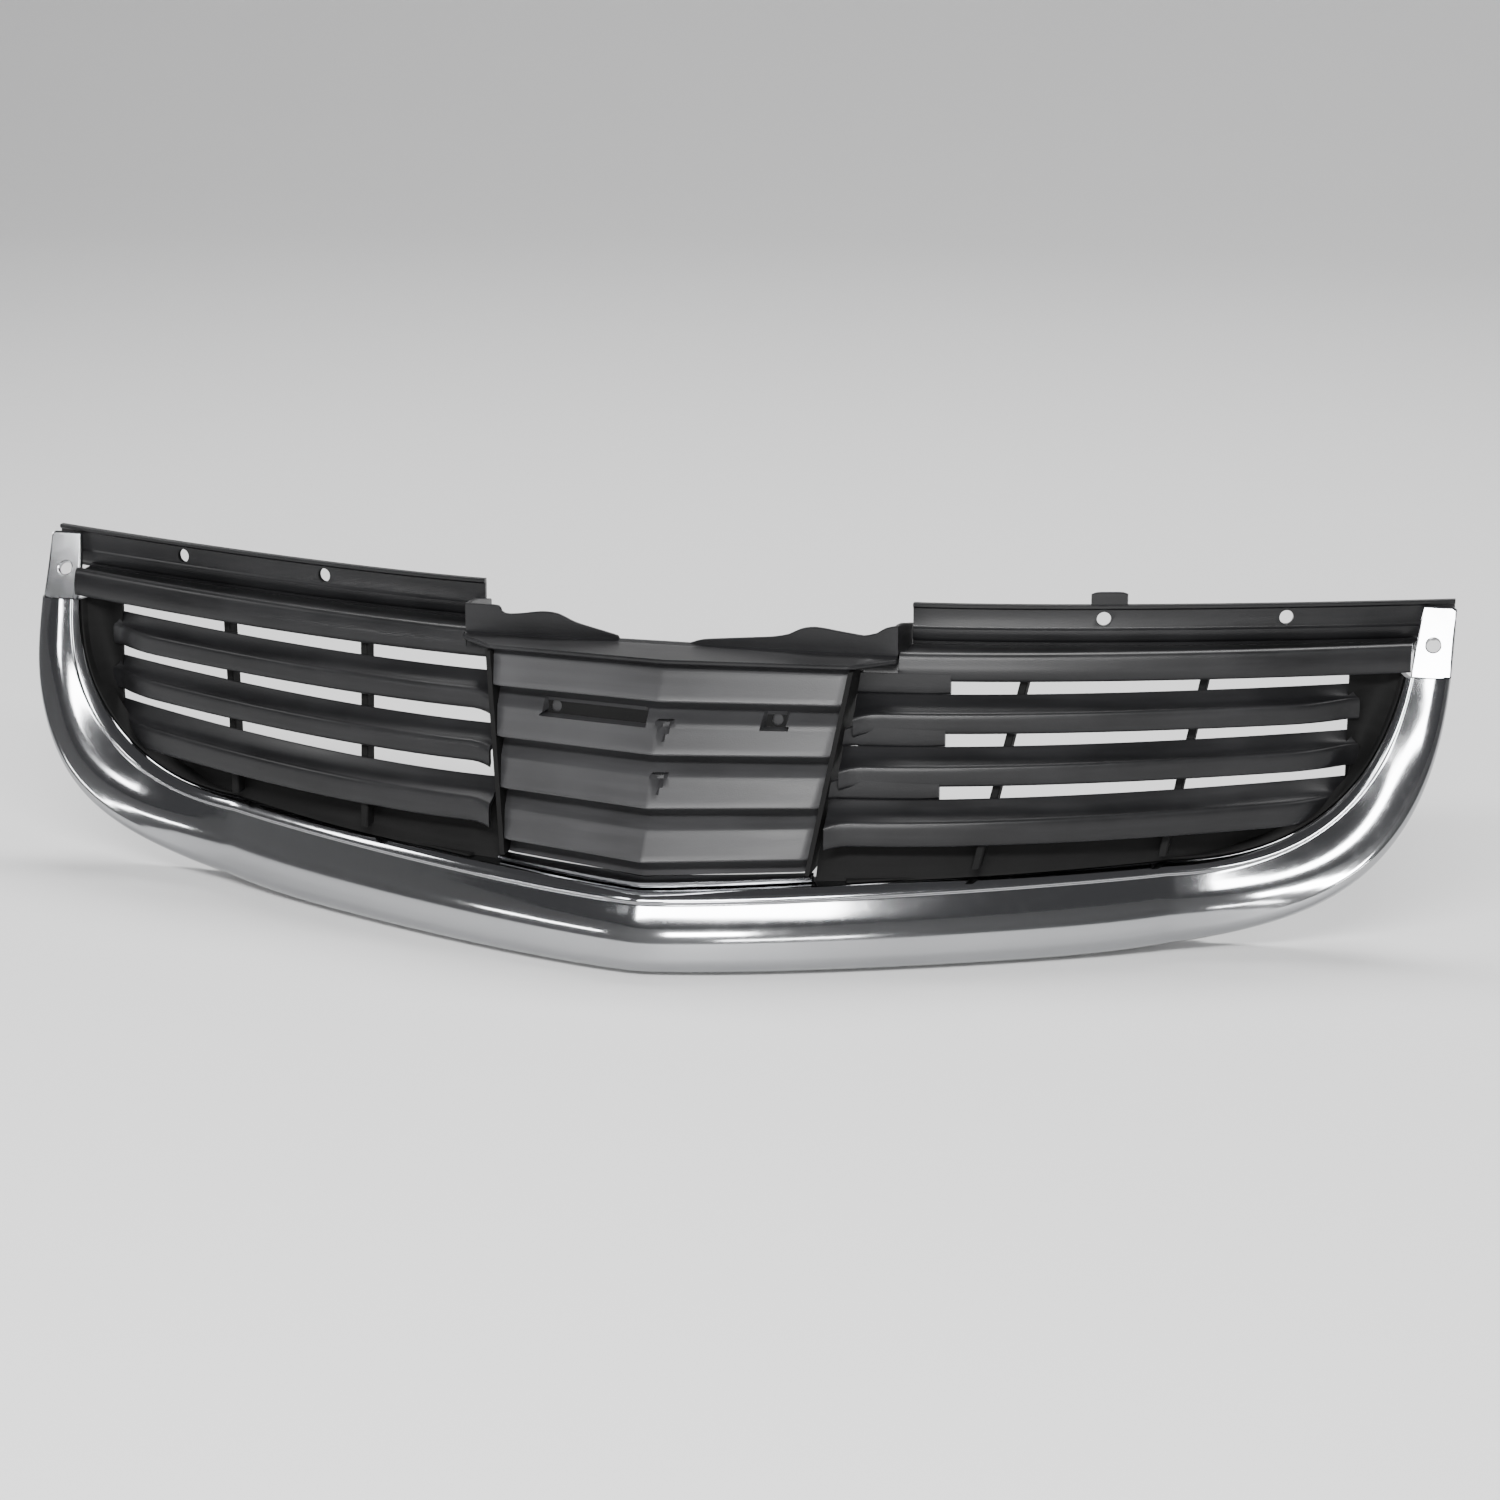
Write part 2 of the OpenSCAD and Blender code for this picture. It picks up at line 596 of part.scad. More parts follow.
place() chrome_surround();
place() side(-1) ear();  // surround_ear_left
place() ear();  // surround_ear_right
place() side(-1) flange(false);  // top_flange_left
place() flange(true);  // top_flange_right
place() side(-1) rail(false);  // top_rail_left
place() rail(true);  // top_rail_right
place() centre_bridge();
place() centre_panel();
place() centre_ledge();
place() side(-1) centre_cheek();  // centre_cheek_left
place() centre_cheek();  // centre_cheek_right
place() side(-1) slat(1, false);  // slat_left_1
place() side(-1) slat(2, false);  // slat_left_2
place() side(-1) slat(3, false);  // slat_left_3
place() slat(1, true);  // slat_right_1
place() slat(2, true);  // slat_right_2
place() slat(3, true);  // slat_right_3
place() side(-1) rib(rib_inner_x);  // rib_left_inner
place() side(-1) rib(rib_outer_x);  // rib_left_outer
place() rib(rib_inner_x);  // rib_right_inner
place() rib(rib_outer_x);  // rib_right_outer
place() side(-1) end_cheek();  // end_cheek_left
place() end_cheek();  // end_cheek_right
place() side(-1) baffle();  // lower_baffle_left
place() baffle();  // lower_baffle_right
place() side(-1) carrier();  // lower_carrier_left
place() carrier();  // lower_carrier_right
place() screws();  // surround_screws
place() tabs();  // lower_tabs
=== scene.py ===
import math

import bmesh
import bpy
from mathutils import Matrix, Vector


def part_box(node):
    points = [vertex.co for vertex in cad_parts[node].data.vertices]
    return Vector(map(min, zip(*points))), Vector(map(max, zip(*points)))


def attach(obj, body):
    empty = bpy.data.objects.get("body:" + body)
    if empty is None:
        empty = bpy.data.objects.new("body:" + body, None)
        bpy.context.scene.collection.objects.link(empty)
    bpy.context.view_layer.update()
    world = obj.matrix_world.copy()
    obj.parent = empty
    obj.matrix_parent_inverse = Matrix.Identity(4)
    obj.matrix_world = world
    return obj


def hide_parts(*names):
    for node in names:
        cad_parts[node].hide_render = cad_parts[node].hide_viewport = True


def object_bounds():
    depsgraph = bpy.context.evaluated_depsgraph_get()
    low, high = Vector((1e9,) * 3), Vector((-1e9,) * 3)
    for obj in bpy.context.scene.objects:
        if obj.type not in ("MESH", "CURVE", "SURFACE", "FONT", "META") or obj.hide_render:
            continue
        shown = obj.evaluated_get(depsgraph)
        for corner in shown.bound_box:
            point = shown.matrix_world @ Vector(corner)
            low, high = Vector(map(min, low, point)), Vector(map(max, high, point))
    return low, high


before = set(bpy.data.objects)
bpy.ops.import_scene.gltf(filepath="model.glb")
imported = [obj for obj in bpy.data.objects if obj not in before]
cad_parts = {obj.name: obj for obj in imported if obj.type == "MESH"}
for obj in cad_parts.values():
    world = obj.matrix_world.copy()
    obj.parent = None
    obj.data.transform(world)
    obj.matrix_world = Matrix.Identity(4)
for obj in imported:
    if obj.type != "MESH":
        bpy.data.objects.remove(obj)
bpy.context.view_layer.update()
print("frame loaded")

# Drawing units are millimetres with x = 0 on the middle, z = 0 on the flange's top edge
# and y = 0 at the flange's inner ends. toWorld() moves them into the frame.
plan = dict(halfWidth=470, drop=208, nose=140, flangeInner=140, flangeEnd=468, flangeSweep=92,
            straightOut=200, straightIn=305, band=56, leg=25, bulge=0.30, wall=3, bandReturn=13,
            powerOut=3.1, powerIn=2.4, lipRise=5, push=16, earFoot=-43, earTop=-4)
louvre = dict(pitch=29.3, height=21.5, lastHeight=26, depthIn=17, depthOut=13, x0=105, outer=408,
              rearIn=-30, rearOut=52, lean=18, leanOut=2, firstZ=-48)
panel = dict(top=-28, bottom=-150, halfTop=115, halfBottom=96, bands=4, step=14, back=5)


def lerp(a, b, t):
    return a + (b - a) * t


def clamp01(t):
    return max(0.0, min(1.0, t))


def smooth(t):
    t = clamp01(t)
    return t * t * (3 - 2 * t)


def steps(a, b, n):
    return [lerp(a, b, i / n) for i in range(n + 1)]


def flangeY(x):
    t = max(abs(x) - plan["flangeInner"], 0) / (plan["halfWidth"] - plan["flangeInner"])
    return plan["flangeSweep"] * t ** 1.35


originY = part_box("top_flange_right")[1].y * 1000 - flangeY(plan["flangeEnd"]) - plan["wall"]
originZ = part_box("top_flange_left")[1].z * 1000


def toWorld(p):
    return Vector((p[0] / 1000, (p[1] + originY) / 1000, (p[2] + originZ) / 1000))


def sweep(x):
    return 27 * (min(abs(x), plan["straightIn"]) / 100) ** 1.362 + 0.36 * max(abs(x) - plan["straightIn"], 0)


def bandY(x, z):
    d = z + 85
    return -plan["nose"] + sweep(x) + 0.25 * (d + math.hypot(d, 24))


def sweepAngle(x):
    return math.copysign(math.atan((sweep(abs(x) + 1) - sweep(max(abs(x) - 1, 0)))
                                   / (abs(x) + 1 - max(abs(x) - 1, 0))), x) if x else 0.0


def edgeX(z):
    return lerp(panel["halfTop"], panel["halfBottom"], (panel["top"] - z) / (panel["top"] - panel["bottom"]))


def edgeY(z):
    return -64 + 0.30 * z


def creaseY(z):
    return -72 + 0.46 * z


def rearZ(row):
    return louvre["firstZ"] - louvre["pitch"] * (row - 1)


def rearY(row, x):
    t = max(abs(x) - louvre["x0"], 0) / (louvre["outer"] - louvre["x0"])
    return louvre["rearIn"] - louvre["lean"] * row + (
        louvre["rearOut"] - louvre["rearIn"] + (louvre["lean"] - louvre["leanOut"]) * row) * t ** 1.5


def slatDepth(x):
    return lerp(louvre["depthIn"], louvre["depthOut"],
                max(abs(x) - louvre["x0"], 0) / (louvre["outer"] - louvre["x0"]))


# One expression on a socket adds its Math nodes, in a material or in Geometry Nodes
class Wire:
    def __init__(self, kit, socket):
        self.kit, self.socket = kit, socket

    def op(self, kind, other=None, flip=False):
        a, b = (other, self) if flip else (self, other)
        values = {0: a} if other is None else {0: a, 1: b}
        return self.kit.node("ShaderNodeMath", dict(operation=kind), values)

    def __add__(self, o): return self.op("ADD", o)
    def __radd__(self, o): return self.op("ADD", o, True)
    def __sub__(self, o): return self.op("SUBTRACT", o)
    def __rsub__(self, o): return self.op("SUBTRACT", o, True)
    def __mul__(self, o): return self.op("MULTIPLY", o)
    def __rmul__(self, o): return self.op("MULTIPLY", o, True)
    def __truediv__(self, o): return self.op("DIVIDE", o)
    def __pow__(self, o): return self.op("POWER", o)
    def above(self, o): return self.op("MAXIMUM", o)
    def below(self, o): return self.op("MINIMUM", o)
    def size(self): return self.op("ABSOLUTE")


class Kit:
    def __init__(self, tree):
        self.tree = tree

    def node(self, kind, settings=None, values=None, out=0):
        n = self.tree.nodes.new(kind)
        for key, value in (settings or {}).items():
            if key == "stops":
                while len(n.color_ramp.elements) > 1:
                    n.color_ramp.elements.remove(n.color_ramp.elements[-1])
                for i, (at, colour) in enumerate(value):
                    e = n.color_ramp.elements[0] if i == 0 else n.color_ramp.elements.new(at)
                    e.position, e.color = at, (*colour, 1)
            else:
                setattr(n, key, value)
        for key, value in (values or {}).items():
            if isinstance(value, Wire):
                self.tree.links.new(value.socket, n.inputs[key])
            elif value is not None:
                n.inputs[key].default_value = value
        return Wire(self, n.outputs[out]) if len(n.outputs) else n

    def outputs(self, wire, name):
        return Wire(self, wire.socket.node.outputs[name])


def ramp01(wire, low, high):
    return ((wire - low) / (high - low)).above(0.0).below(1.0)


def makeMaterial(name, build):
    mat = bpy.data.materials.new(name)
    mat.use_nodes = True
    mat.node_tree.nodes.clear()
    kit = Kit(mat.node_tree)
    shader = build(kit)
    kit.node("ShaderNodeOutputMaterial", None, {"Surface": shader})
    return mat


chrome = dict(tint=(0.36, 0.365, 0.375), dust=(0.24, 0.24, 0.25), roughness=0.085)


def chromeShader(kit):
    place = kit.node("ShaderNodeTexCoord", None, None, "Object")
    cloud = kit.node("ShaderNodeTexNoise", None, {"Vector": place, "Scale": 9.0, "Detail": 4.0})
    fine = kit.node("ShaderNodeTexNoise", None, {"Vector": place, "Scale": 160.0, "Detail": 3.0})
    wave = kit.node("ShaderNodeTexNoise", None, {"Vector": place, "Scale": 34.0, "Detail": 1.0})
    film = ramp01(cloud, 0.45, 0.75)
    colour = kit.node("ShaderNodeMix", dict(data_type="RGBA"),
                      {"Factor": film * 0.22, 6: (*chrome["tint"], 1), 7: (*chrome["dust"], 1)}, 2)
    bump = kit.node("ShaderNodeBump", None, {"Strength": 0.05, "Distance": 0.0004, "Height": wave})
    return kit.node("ShaderNodeBsdfPrincipled", None, {
        "Base Color": colour, "Metallic": 1.0, "Normal": bump,
        "Roughness": chrome["roughness"] + film * 0.035 + ramp01(fine, 0.5, 0.8) * 0.03})


def mouldedShader(base, light, roughness, grain, streak, sheen):
    def build(kit):
        place = kit.node("ShaderNodeTexCoord", None, None, "Object")
        cloud = kit.node("ShaderNodeTexNoise", None, {"Vector": place, "Scale": 14.0, "Detail": 5.0})
        drawn = kit.node("ShaderNodeMapping", None, {"Vector": place, "Scale": (6.0, 40.0, 220.0)})
        flow = kit.node("ShaderNodeTexNoise", None, {"Vector": drawn, "Scale": 1.0, "Detail": 3.0})
        skin = kit.node("ShaderNodeTexVoronoi", None, {"Vector": place, "Scale": grain})
        fine = kit.node("ShaderNodeTexNoise", None, {"Vector": place, "Scale": grain * 1.7, "Detail": 2.0})
        mix = ramp01(cloud, 0.35, 0.7) * 0.7 + ramp01(flow, 0.45, 0.7) * streak
        colour = kit.node("ShaderNodeMix", dict(data_type="RGBA"),
                          {"Factor": mix.below(1.0), 6: (*base, 1), 7: (*light, 1)}, 2)
        height = skin * 0.6 + fine * 0.4
        bump = kit.node("ShaderNodeBump", None, {"Strength": 0.14, "Distance": 0.0003, "Height": height})
        return kit.node("ShaderNodeBsdfPrincipled", None, {
            "Base Color": colour, "Metallic": 0.0, "Normal": bump, "Specular IOR Level": sheen,
            "Roughness": roughness + ramp01(cloud, 0.3, 0.7) * 0.07 + ramp01(flow, 0.4, 0.7) * 0.05})
    return build


def steelShader(kit):
    place = kit.node("ShaderNodeTexCoord", None, None, "Object")
    cloud = kit.node("ShaderNodeTexNoise", None, {"Vector": place, "Scale": 260.0, "Detail": 4.0})
    colour = kit.node("ShaderNodeMix", dict(data_type="RGBA"), {
        "Factor": ramp01(cloud, 0.4, 0.7), 6: (0.62, 0.61, 0.56, 1), 7: (0.44, 0.45, 0.44, 1)}, 2)
    return kit.node("ShaderNodeBsdfPrincipled", None, {
        "Base Color": colour, "Metallic": 1.0, "Roughness": 0.30 + ramp01(cloud, 0.3, 0.8) * 0.18})


def floorShader(kit):
    place = kit.node("ShaderNodeTexCoord", None, None, "Object")
    cloud = kit.node("ShaderNodeTexNoise", None, {"Vector": place, "Scale": 0.8, "Detail": 3.0})
    colour = kit.node("ShaderNodeMix", dict(data_type="RGBA"), {
        "Factor": cloud, 6: (0.70, 0.70, 0.70, 1), 7: (0.74, 0.74, 0.74, 1)}, 2)
    return kit.node("ShaderNodeBsdfPrincipled", None, {"Base Color": colour, "Roughness": 0.65})


materials = {
    "chrome": makeMaterial("platedChrome", chromeShader),
    "black": makeMaterial("blackMoulding", mouldedShader(
        (0.005, 0.005, 0.0055), (0.013, 0.013, 0.014), 0.30, 900.0, 0.35, 0.32)),
    # a darker, matt copy of the black moulding for the walls sunk in the hollows: its darker colour is painted shade
    "paintedShadeBlack": makeMaterial("blackMouldingPaintedShade", mouldedShader(
        (0.004, 0.004, 0.004), (0.009, 0.009, 0.009), 0.70, 900.0, 0.35, 0.12)),
    "grey": makeMaterial("greyPanelMoulding", mouldedShader(
        (0.022, 0.022, 0.023), (0.036, 0.036, 0.038), 0.38, 1000.0, 0.45, 0.45)),
    "steel": makeMaterial("zincSteel", steelShader),
    "floor": makeMaterial("paleFloor", floorShader),
}
print("materials made")


def finishPiece(obj, finish, nodes, crease=32.0):
    mesh = obj.data
    bm = bmesh.new()
    bm.from_mesh(mesh)
    bmesh.ops.remove_doubles(bm, verts=bm.verts, dist=1e-6)
    bmesh.ops.recalc_face_normals(bm, faces=bm.faces)
    for f in bm.faces:
        f.smooth = True
    limit = math.radians(crease)
    for e in bm.edges:
        e.smooth = not (len(e.link_faces) == 2 and e.calc_face_angle(0) > limit)
    bm.to_mesh(mesh)
    bm.free()
    mesh.materials.clear()
    mesh.materials.append(materials[finish])
    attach(obj, "root")
    if nodes:
        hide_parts(*nodes)
    return obj


def newObject(name, verts, faces):
    mesh = bpy.data.meshes.new(name)
    mesh.from_pydata([toWorld(v) for v in verts], [], faces)
    mesh.update()
    obj = bpy.data.objects.new(name, mesh)
    bpy.context.scene.collection.objects.link(obj)
    return obj


# A tube of closed rings, with an n-gon or strip cap at each end
def ringTube(name, rings, half=None):
    n = len(rings[0])
    verts = [p for r in rings for p in r]
    faces = [(s * n + i, s * n + (i + 1) % n, (s + 1) * n + (i + 1) % n, (s + 1) * n + i)
             for s in range(len(rings) - 1) for i in range(n)]
    last = (len(rings) - 1) * n
    m = half or n // 2
    for i in range(m - 1):
        quad = (i, i + 1, n - 2 - i, n - 1 - i)
        faces.append(quad)
        faces.append(tuple(last + q for q in reversed(quad)))
    return newObject(name, verts, faces)


# Smooth curve through control points, straight where a point is repeated
def spline(points, per):
    out = []
    for i in range(len(points) - 1):
        p1, p2 = points[i], points[i + 1]
        p0 = points[i - 1] if i > 0 else p1
        p3 = points[i + 2] if i + 2 < len(points) else p2
        if p1 == p2:
            continue
        for s in range(per):
            t = s / per
            out.append(tuple(0.5 * (2 * b + (c - a) * t + (2 * a - 5 * b + 4 * c - d) * t * t
                                    + (3 * b - a - 3 * c + d) * t ** 3)
                             for a, b, c, d in zip(p0, p1, p2, p3)))
    out.append(points[-1])
    return out


# ---------- bright surround ----------
surround = dict(alongWing=44, alongLeg=64, perSpan=4, skin=3.0, earThick=4.0, earHole=4.5, earHoleUp=18.0)


def outerXZ(u):
    reach = plan["halfWidth"] - plan["straightOut"]
    p = plan["powerOut"]
    t1 = math.asin((max(plan["straightIn"] - plan["straightOut"], 0) / reach) ** (p / 2))
    t2 = math.acos((-plan["earFoot"] / plan["drop"]) ** (p / 2))
    if u <= 1:
        x = plan["straightIn"] * u
        r = max(x - plan["straightOut"], 0) / reach
        return x, -plan["drop"] * (1 - r ** p) ** (1 / p)
    t = lerp(t1, t2, u - 1)
    return plan["straightOut"] + reach * math.sin(t) ** (2 / p), -plan["drop"] * math.cos(t) ** (2 / p)


def innerXZ(u):
    drop = plan["drop"] - plan["band"]
    p = plan["powerIn"]
    if u <= 1:
        return plan["straightIn"] * u, -drop + plan["lipRise"] * (u - 1)
    t = math.acos((-plan["earFoot"] / drop) ** (p / 2)) * (u - 1)
    reach = plan["halfWidth"] - plan["leg"] - plan["straightIn"]
    return plan["straightIn"] + reach * math.sin(t) ** (2 / p), -drop * math.cos(t) ** (2 / p)


# [share of the width from the inner lip, share of the bulge]
bandFace = ([(0.0, -0.04), (0.006, 0.06), (0.02, 0.13), (0.02, 0.13)]
            + [(0.055, 0.26), (0.10, 0.37), (0.125, 0.40), (0.14, 0.38), (0.15, 0.37), (0.165, 0.385)]
            + [(0.22, 0.485), (0.30, 0.63), (0.39, 0.775), (0.48, 0.88), (0.57, 0.945), (0.66, 0.98),
               (0.74, 0.997), (0.81, 1.0), (0.87, 0.955), (0.915, 0.86), (0.955, 0.69), (0.985, 0.46), (1.0, 0.22)])


def bandRing(u, s):
    o, i = outerXZ(u), innerXZ(u)
    width = math.hypot(o[0] - i[0], o[1] - i[1])
    push = 0 if u <= 1 else plan["push"] * math.sin(math.pi * (u - 1)) ** 2
    po = Vector((s * o[0], bandY(*o) - push, o[1]))
    pi = Vector((s * i[0], bandY(*i), i[1]))
    a = s * sweepAngle((o[0] + i[0]) / 2)
    f = Vector((math.sin(a), -math.cos(a), 0))
    bulge = plan["bulge"] * width
    inset = surround["skin"] / width
    face = spline(bandFace, surround["perSpan"])
    back = -plan["bandReturn"]
    front = [pi + f * back] + [pi.lerp(po, q) + f * b * bulge for q, b in face] + [po + f * back]
    inner = [pi.lerp(po, inset) + f * back]
    inner += [pi.lerp(po, lerp(inset, 1 - inset, q)) + f * (b * bulge - surround["skin"]) for q, b in face]
    inner += [pi.lerp(po, 1 - inset) + f * back]
    return front + inner[::-1]


def makeSurround():
    us = steps(0, 1, surround["alongWing"]) + [1 + i / surround["alongLeg"]
                                               for i in range(1, surround["alongLeg"] + 1)]
    rings = [bandRing(u, -1) for u in us[:0:-1]] + [bandRing(u, 1) for u in us]
    return finishPiece(ringTube("surroundBand", rings), "chrome", ["chrome_surround"], 40)


# The ear is a plate built round its hole, with rolled edges, that grows out of the leg
def makeEar(s):
    lean = math.atan(0.5)
    half, up = plan["leg"] / 2, (plan["earTop"] - plan["earFoot"]) / math.cos(lean)
    baseY = bandY(plan["halfWidth"], plan["earFoot"])
    cx, holeUp, r = plan["halfWidth"] - half, surround["earHoleUp"], surround["earHole"]
    count = 64

    def outline(angle, grow):
        dx, dy = math.cos(angle), math.sin(angle)
        best = 1e9
        corners = [(-half, -holeUp - 5), (half, -holeUp - 5), (half + 0.4, up - holeUp), (-half * 0.62, up - holeUp),
                   (-half * 0.94, up * 0.35 - holeUp)]
        for k in range(len(corners)):
            ax, ay = corners[k]
            bx, by = corners[(k + 1) % len(corners)]
            den = dx * (by - ay) - dy * (bx - ax)
            if abs(den) < 1e-9:
                continue
            t = (ax * (by - ay) - ay * (bx - ax)) / den
            w = (ax * dy - ay * dx) / den
            if t > 0 and -1e-6 <= w <= 1 + 1e-6:
                best = min(best, t)
        return (best + grow) * dx, (best + grow) * dy

    def atPlate(px, py, out):
        h = holeUp + py
        y = baseY + h * math.sin(lean) - out * math.cos(lean)
        z = plan["earFoot"] + h * math.cos(lean) - out * math.sin(lean) * -1
        return (s * (cx + px), y, z)

    t = surround["earThick"]
    loops = [(r, 0.0), (r, t - 0.5), (r + 0.15, t - 0.15), (r + 0.5, t), (r + 0.9, t)]
    rings = []
    for k in range(count + 1):
        a = 2 * math.pi * k / count
        ring = [atPlate(q * math.cos(a), q * math.sin(a), out) for q, out in loops]
        for grow, out in ((-1.9, t), (-1.4, t), (-0.5, t - 0.3), (0, t - 1.2), (0, 0.8), (-0.5, 0.0)):
            px, py = outline(a, grow)
            ring.append(atPlate(px, py, out))
        rings.append(ring)
    n = len(rings[0])
    verts = [p for ring in rings[:-1] for p in ring]
    faces = [(k * n + i, k * n + (i + 1) % n, ((k + 1) % count) * n + (i + 1) % n, ((k + 1) % count) * n + i)
             for k in range(count) for i in range(n)]
    ear = newObject("surroundEar" + ("Right" if s > 0 else "Left"), verts, faces)
    side = "right" if s > 0 else "left"
    return finishPiece(ear, "chrome", ["surround_ear_" + side], 30)


makeSurround()
for s in (-1, 1):
    makeEar(s)
print("surround made")

# ---------- Geometry Nodes helpers ----------


def newTree(name, inputs):
    tree = bpy.data.node_groups.new(name, "GeometryNodeTree")
    tree.interface.new_socket("Geometry", in_out="OUTPUT", socket_type="NodeSocketGeometry")
    kinds = {float: "NodeSocketFloat", int: "NodeSocketInt", "object": "NodeSocketObject",
             "material": "NodeSocketMaterial"}
    ids = {}
    for label, value in inputs.items():
        kind = "object" if isinstance(value, bpy.types.Object) else (
            "material" if isinstance(value, bpy.types.Material) else type(value))
        sock = tree.interface.new_socket(label, in_out="INPUT", socket_type=kinds[kind])
        ids[label] = sock.identifier
    kit = Kit(tree)
    group = tree.nodes.new("NodeGroupInput")
    wires = {label: Wire(kit, group.outputs[label]) for label in inputs}
    return kit, wires, ids


def closeTree(kit, geometry, material):
    solid = kit.node("GeometryNodeRealizeInstances", None, {"Geometry": geometry})
    painted = kit.node("GeometryNodeSetMaterial", None, {"Geometry": solid, "Material": material})
    kit.node_out = kit.tree.nodes.new("NodeGroupOutput")
    kit.tree.links.new(painted.socket, kit.node_out.inputs[0])


def growMesh(name, kit, ids, values):
    holder = bpy.data.objects.new(name + "Maker", bpy.data.meshes.new(name + "Maker"))
    bpy.context.scene.collection.objects.link(holder)
    mod = holder.modifiers.new("grow", "NODES")
    mod.node_group = kit.tree
    for label, value in values.items():
        mod[ids[label]] = value
    deps = bpy.context.evaluated_depsgraph_get()
    mesh = bpy.data.meshes.new_from_object(holder.evaluated_get(deps))
    mesh.name = name
    bpy.data.objects.remove(holder)
    obj = bpy.data.objects.new(name, mesh)
    bpy.context.scene.collection.objects.link(obj)
    return obj


def hiddenCurve(name, points):
    curve = bpy.data.curves.new(name, "CURVE")
    curve.dimensions = "3D"
    path = curve.splines.new("POLY")
    path.points.add(len(points) - 1)
    for target, p in zip(path.points, points):
        target.co = (p[0] / 1000, p[1] / 1000, 0, 1)
    path.use_cyclic_u = True
    obj = bpy.data.objects.new(name, curve)
    bpy.context.scene.collection.objects.link(obj)
    return obj


# ---------- louvre slats ----------
slat = dict(stations=72, thick=3.0, flare=5.0, flareDrop=3.0, flareRun=16.0, endGap=3.3)
# [forward, down] as shares of the depth and the height: the upper side is hollow, the nose is upright
slatFace = [(0.0, 0.0), (0.05, -0.012), (0.14, 0.05), (0.30, 0.16), (0.50, 0.275), (0.72, 0.35), (0.88, 0.39),
            (0.97, 0.455), (1.0, 0.56), (1.0, 0.72), (0.99, 0.86), (0.955, 0.96), (0.90, 1.0)]


def slatProfile(height):
    face = spline([(f * louvre["depthIn"], d * height) for f, d in slatFace], 3)
    back = []
    for i in range(len(face) - 1, -1, -1):
        a, b = face[max(i - 1, 0)], face[min(i + 1, len(face) - 1)]
        tx, ty = b[0] - a[0], b[1] - a[1]
        size = math.hypot(tx, ty)
        back.append((face[i][0] - ty / size * slat["thick"], face[i][1] + tx / size * slat["thick"]))
    return face + back[2:-1]


def slatTree(profile):
    kit, w, ids = newTree("louvreSlat", {
        "Row": 1.0, "Inner": 0.12, "Outer": 0.408, "Side": 1.0, "Stations": 72, "Profile": profile,
        "Depth Drop": 0.2, "Flare": 0.005, "Flare Drop": 0.003, "Flare Run": 0.016,
        "Rear Z": 0.16, "Material": materials["black"]})
    line = kit.node("GeometryNodeMeshLine", dict(mode="END_POINTS"),
                    {"Count": w["Stations"], "Start Location": (0, 0, 0), "Offset": (1, 0, 0)})
    t = kit.outputs(kit.node("ShaderNodeSeparateXYZ", None, {0: kit.node("GeometryNodeInputPosition")}), "X")
    side = w["Side"]
    first = kit.node("FunctionNodeCompare", dict(data_type="FLOAT", operation="GREATER_THAN"), {0: side, 1: 0.0})
    start = kit.node("GeometryNodeSwitch", dict(input_type="FLOAT"), {0: first, 1: w["Outer"] * -1.0, 2: w["Inner"]})
    end = kit.node("GeometryNodeSwitch", dict(input_type="FLOAT"), {0: first, 1: w["Inner"] * -1.0, 2: w["Outer"]})
    x = start + (end - start) * t

    def rear(xx):
        span = ((xx.size() - louvre["x0"] / 1000).above(0.0)) / ((louvre["outer"] - louvre["x0"]) / 1000)
        rise = (louvre["rearOut"] - louvre["rearIn"]) / 1000 + w["Row"] * (
            (louvre["lean"] - louvre["leanOut"]) / 1000)
        return (originY + louvre["rearIn"]) / 1000 - w["Row"] * (louvre["lean"] / 1000) + rise * span ** 1.5, span

    y, _ = rear(x)
    path = kit.node("GeometryNodeSetPosition", None, {
        "Geometry": line, "Position": kit.node("ShaderNodeCombineXYZ", None, {0: x, 1: y, 2: w["Rear Z"]})})
    curve = kit.node("GeometryNodeMeshToCurve", None, {"Mesh": path})
    upright = kit.node("GeometryNodeSetCurveNormal", dict(mode="Z_UP"), {"Curve": curve})
    outline = kit.node("GeometryNodeObjectInfo", None, {"Object": w["Profile"]}, "Geometry")
    solid = kit.node("GeometryNodeCurveToMesh", None,
                     {"Curve": upright, "Profile Curve": outline, "Fill Caps": True})
    spot = kit.node("ShaderNodeSeparateXYZ", None, {0: kit.node("GeometryNodeInputPosition")})
    px, py, pz = (kit.outputs(spot, c) for c in "XYZ")
    back, span = rear(px)
    ahead = back - py
    tip = ramp01(px.size(), louvre["outer"] / 1000 - 0.034, louvre["outer"] / 1000)
    scale = (1.0 - w["Depth Drop"] * span) * (1.0 - tip * tip * 0.6)
    run = 1.0 - ((px.size() - w["Inner"]) / w["Flare Run"]).above(0.0).below(1.0)
    pull = run * run * (ahead / (louvre["depthIn"] / 1000)).above(0.0)
    newY = back - ahead * scale - pull * w["Flare"]
    newZ = pz - pull * w["Flare Drop"]
    shaped = kit.node("GeometryNodeSetPosition", None, {
        "Geometry": solid, "Position": kit.node("ShaderNodeCombineXYZ", None, {0: px, 1: newY, 2: newZ})})
    closeTree(kit, shaped, w["Material"])
    return kit, ids


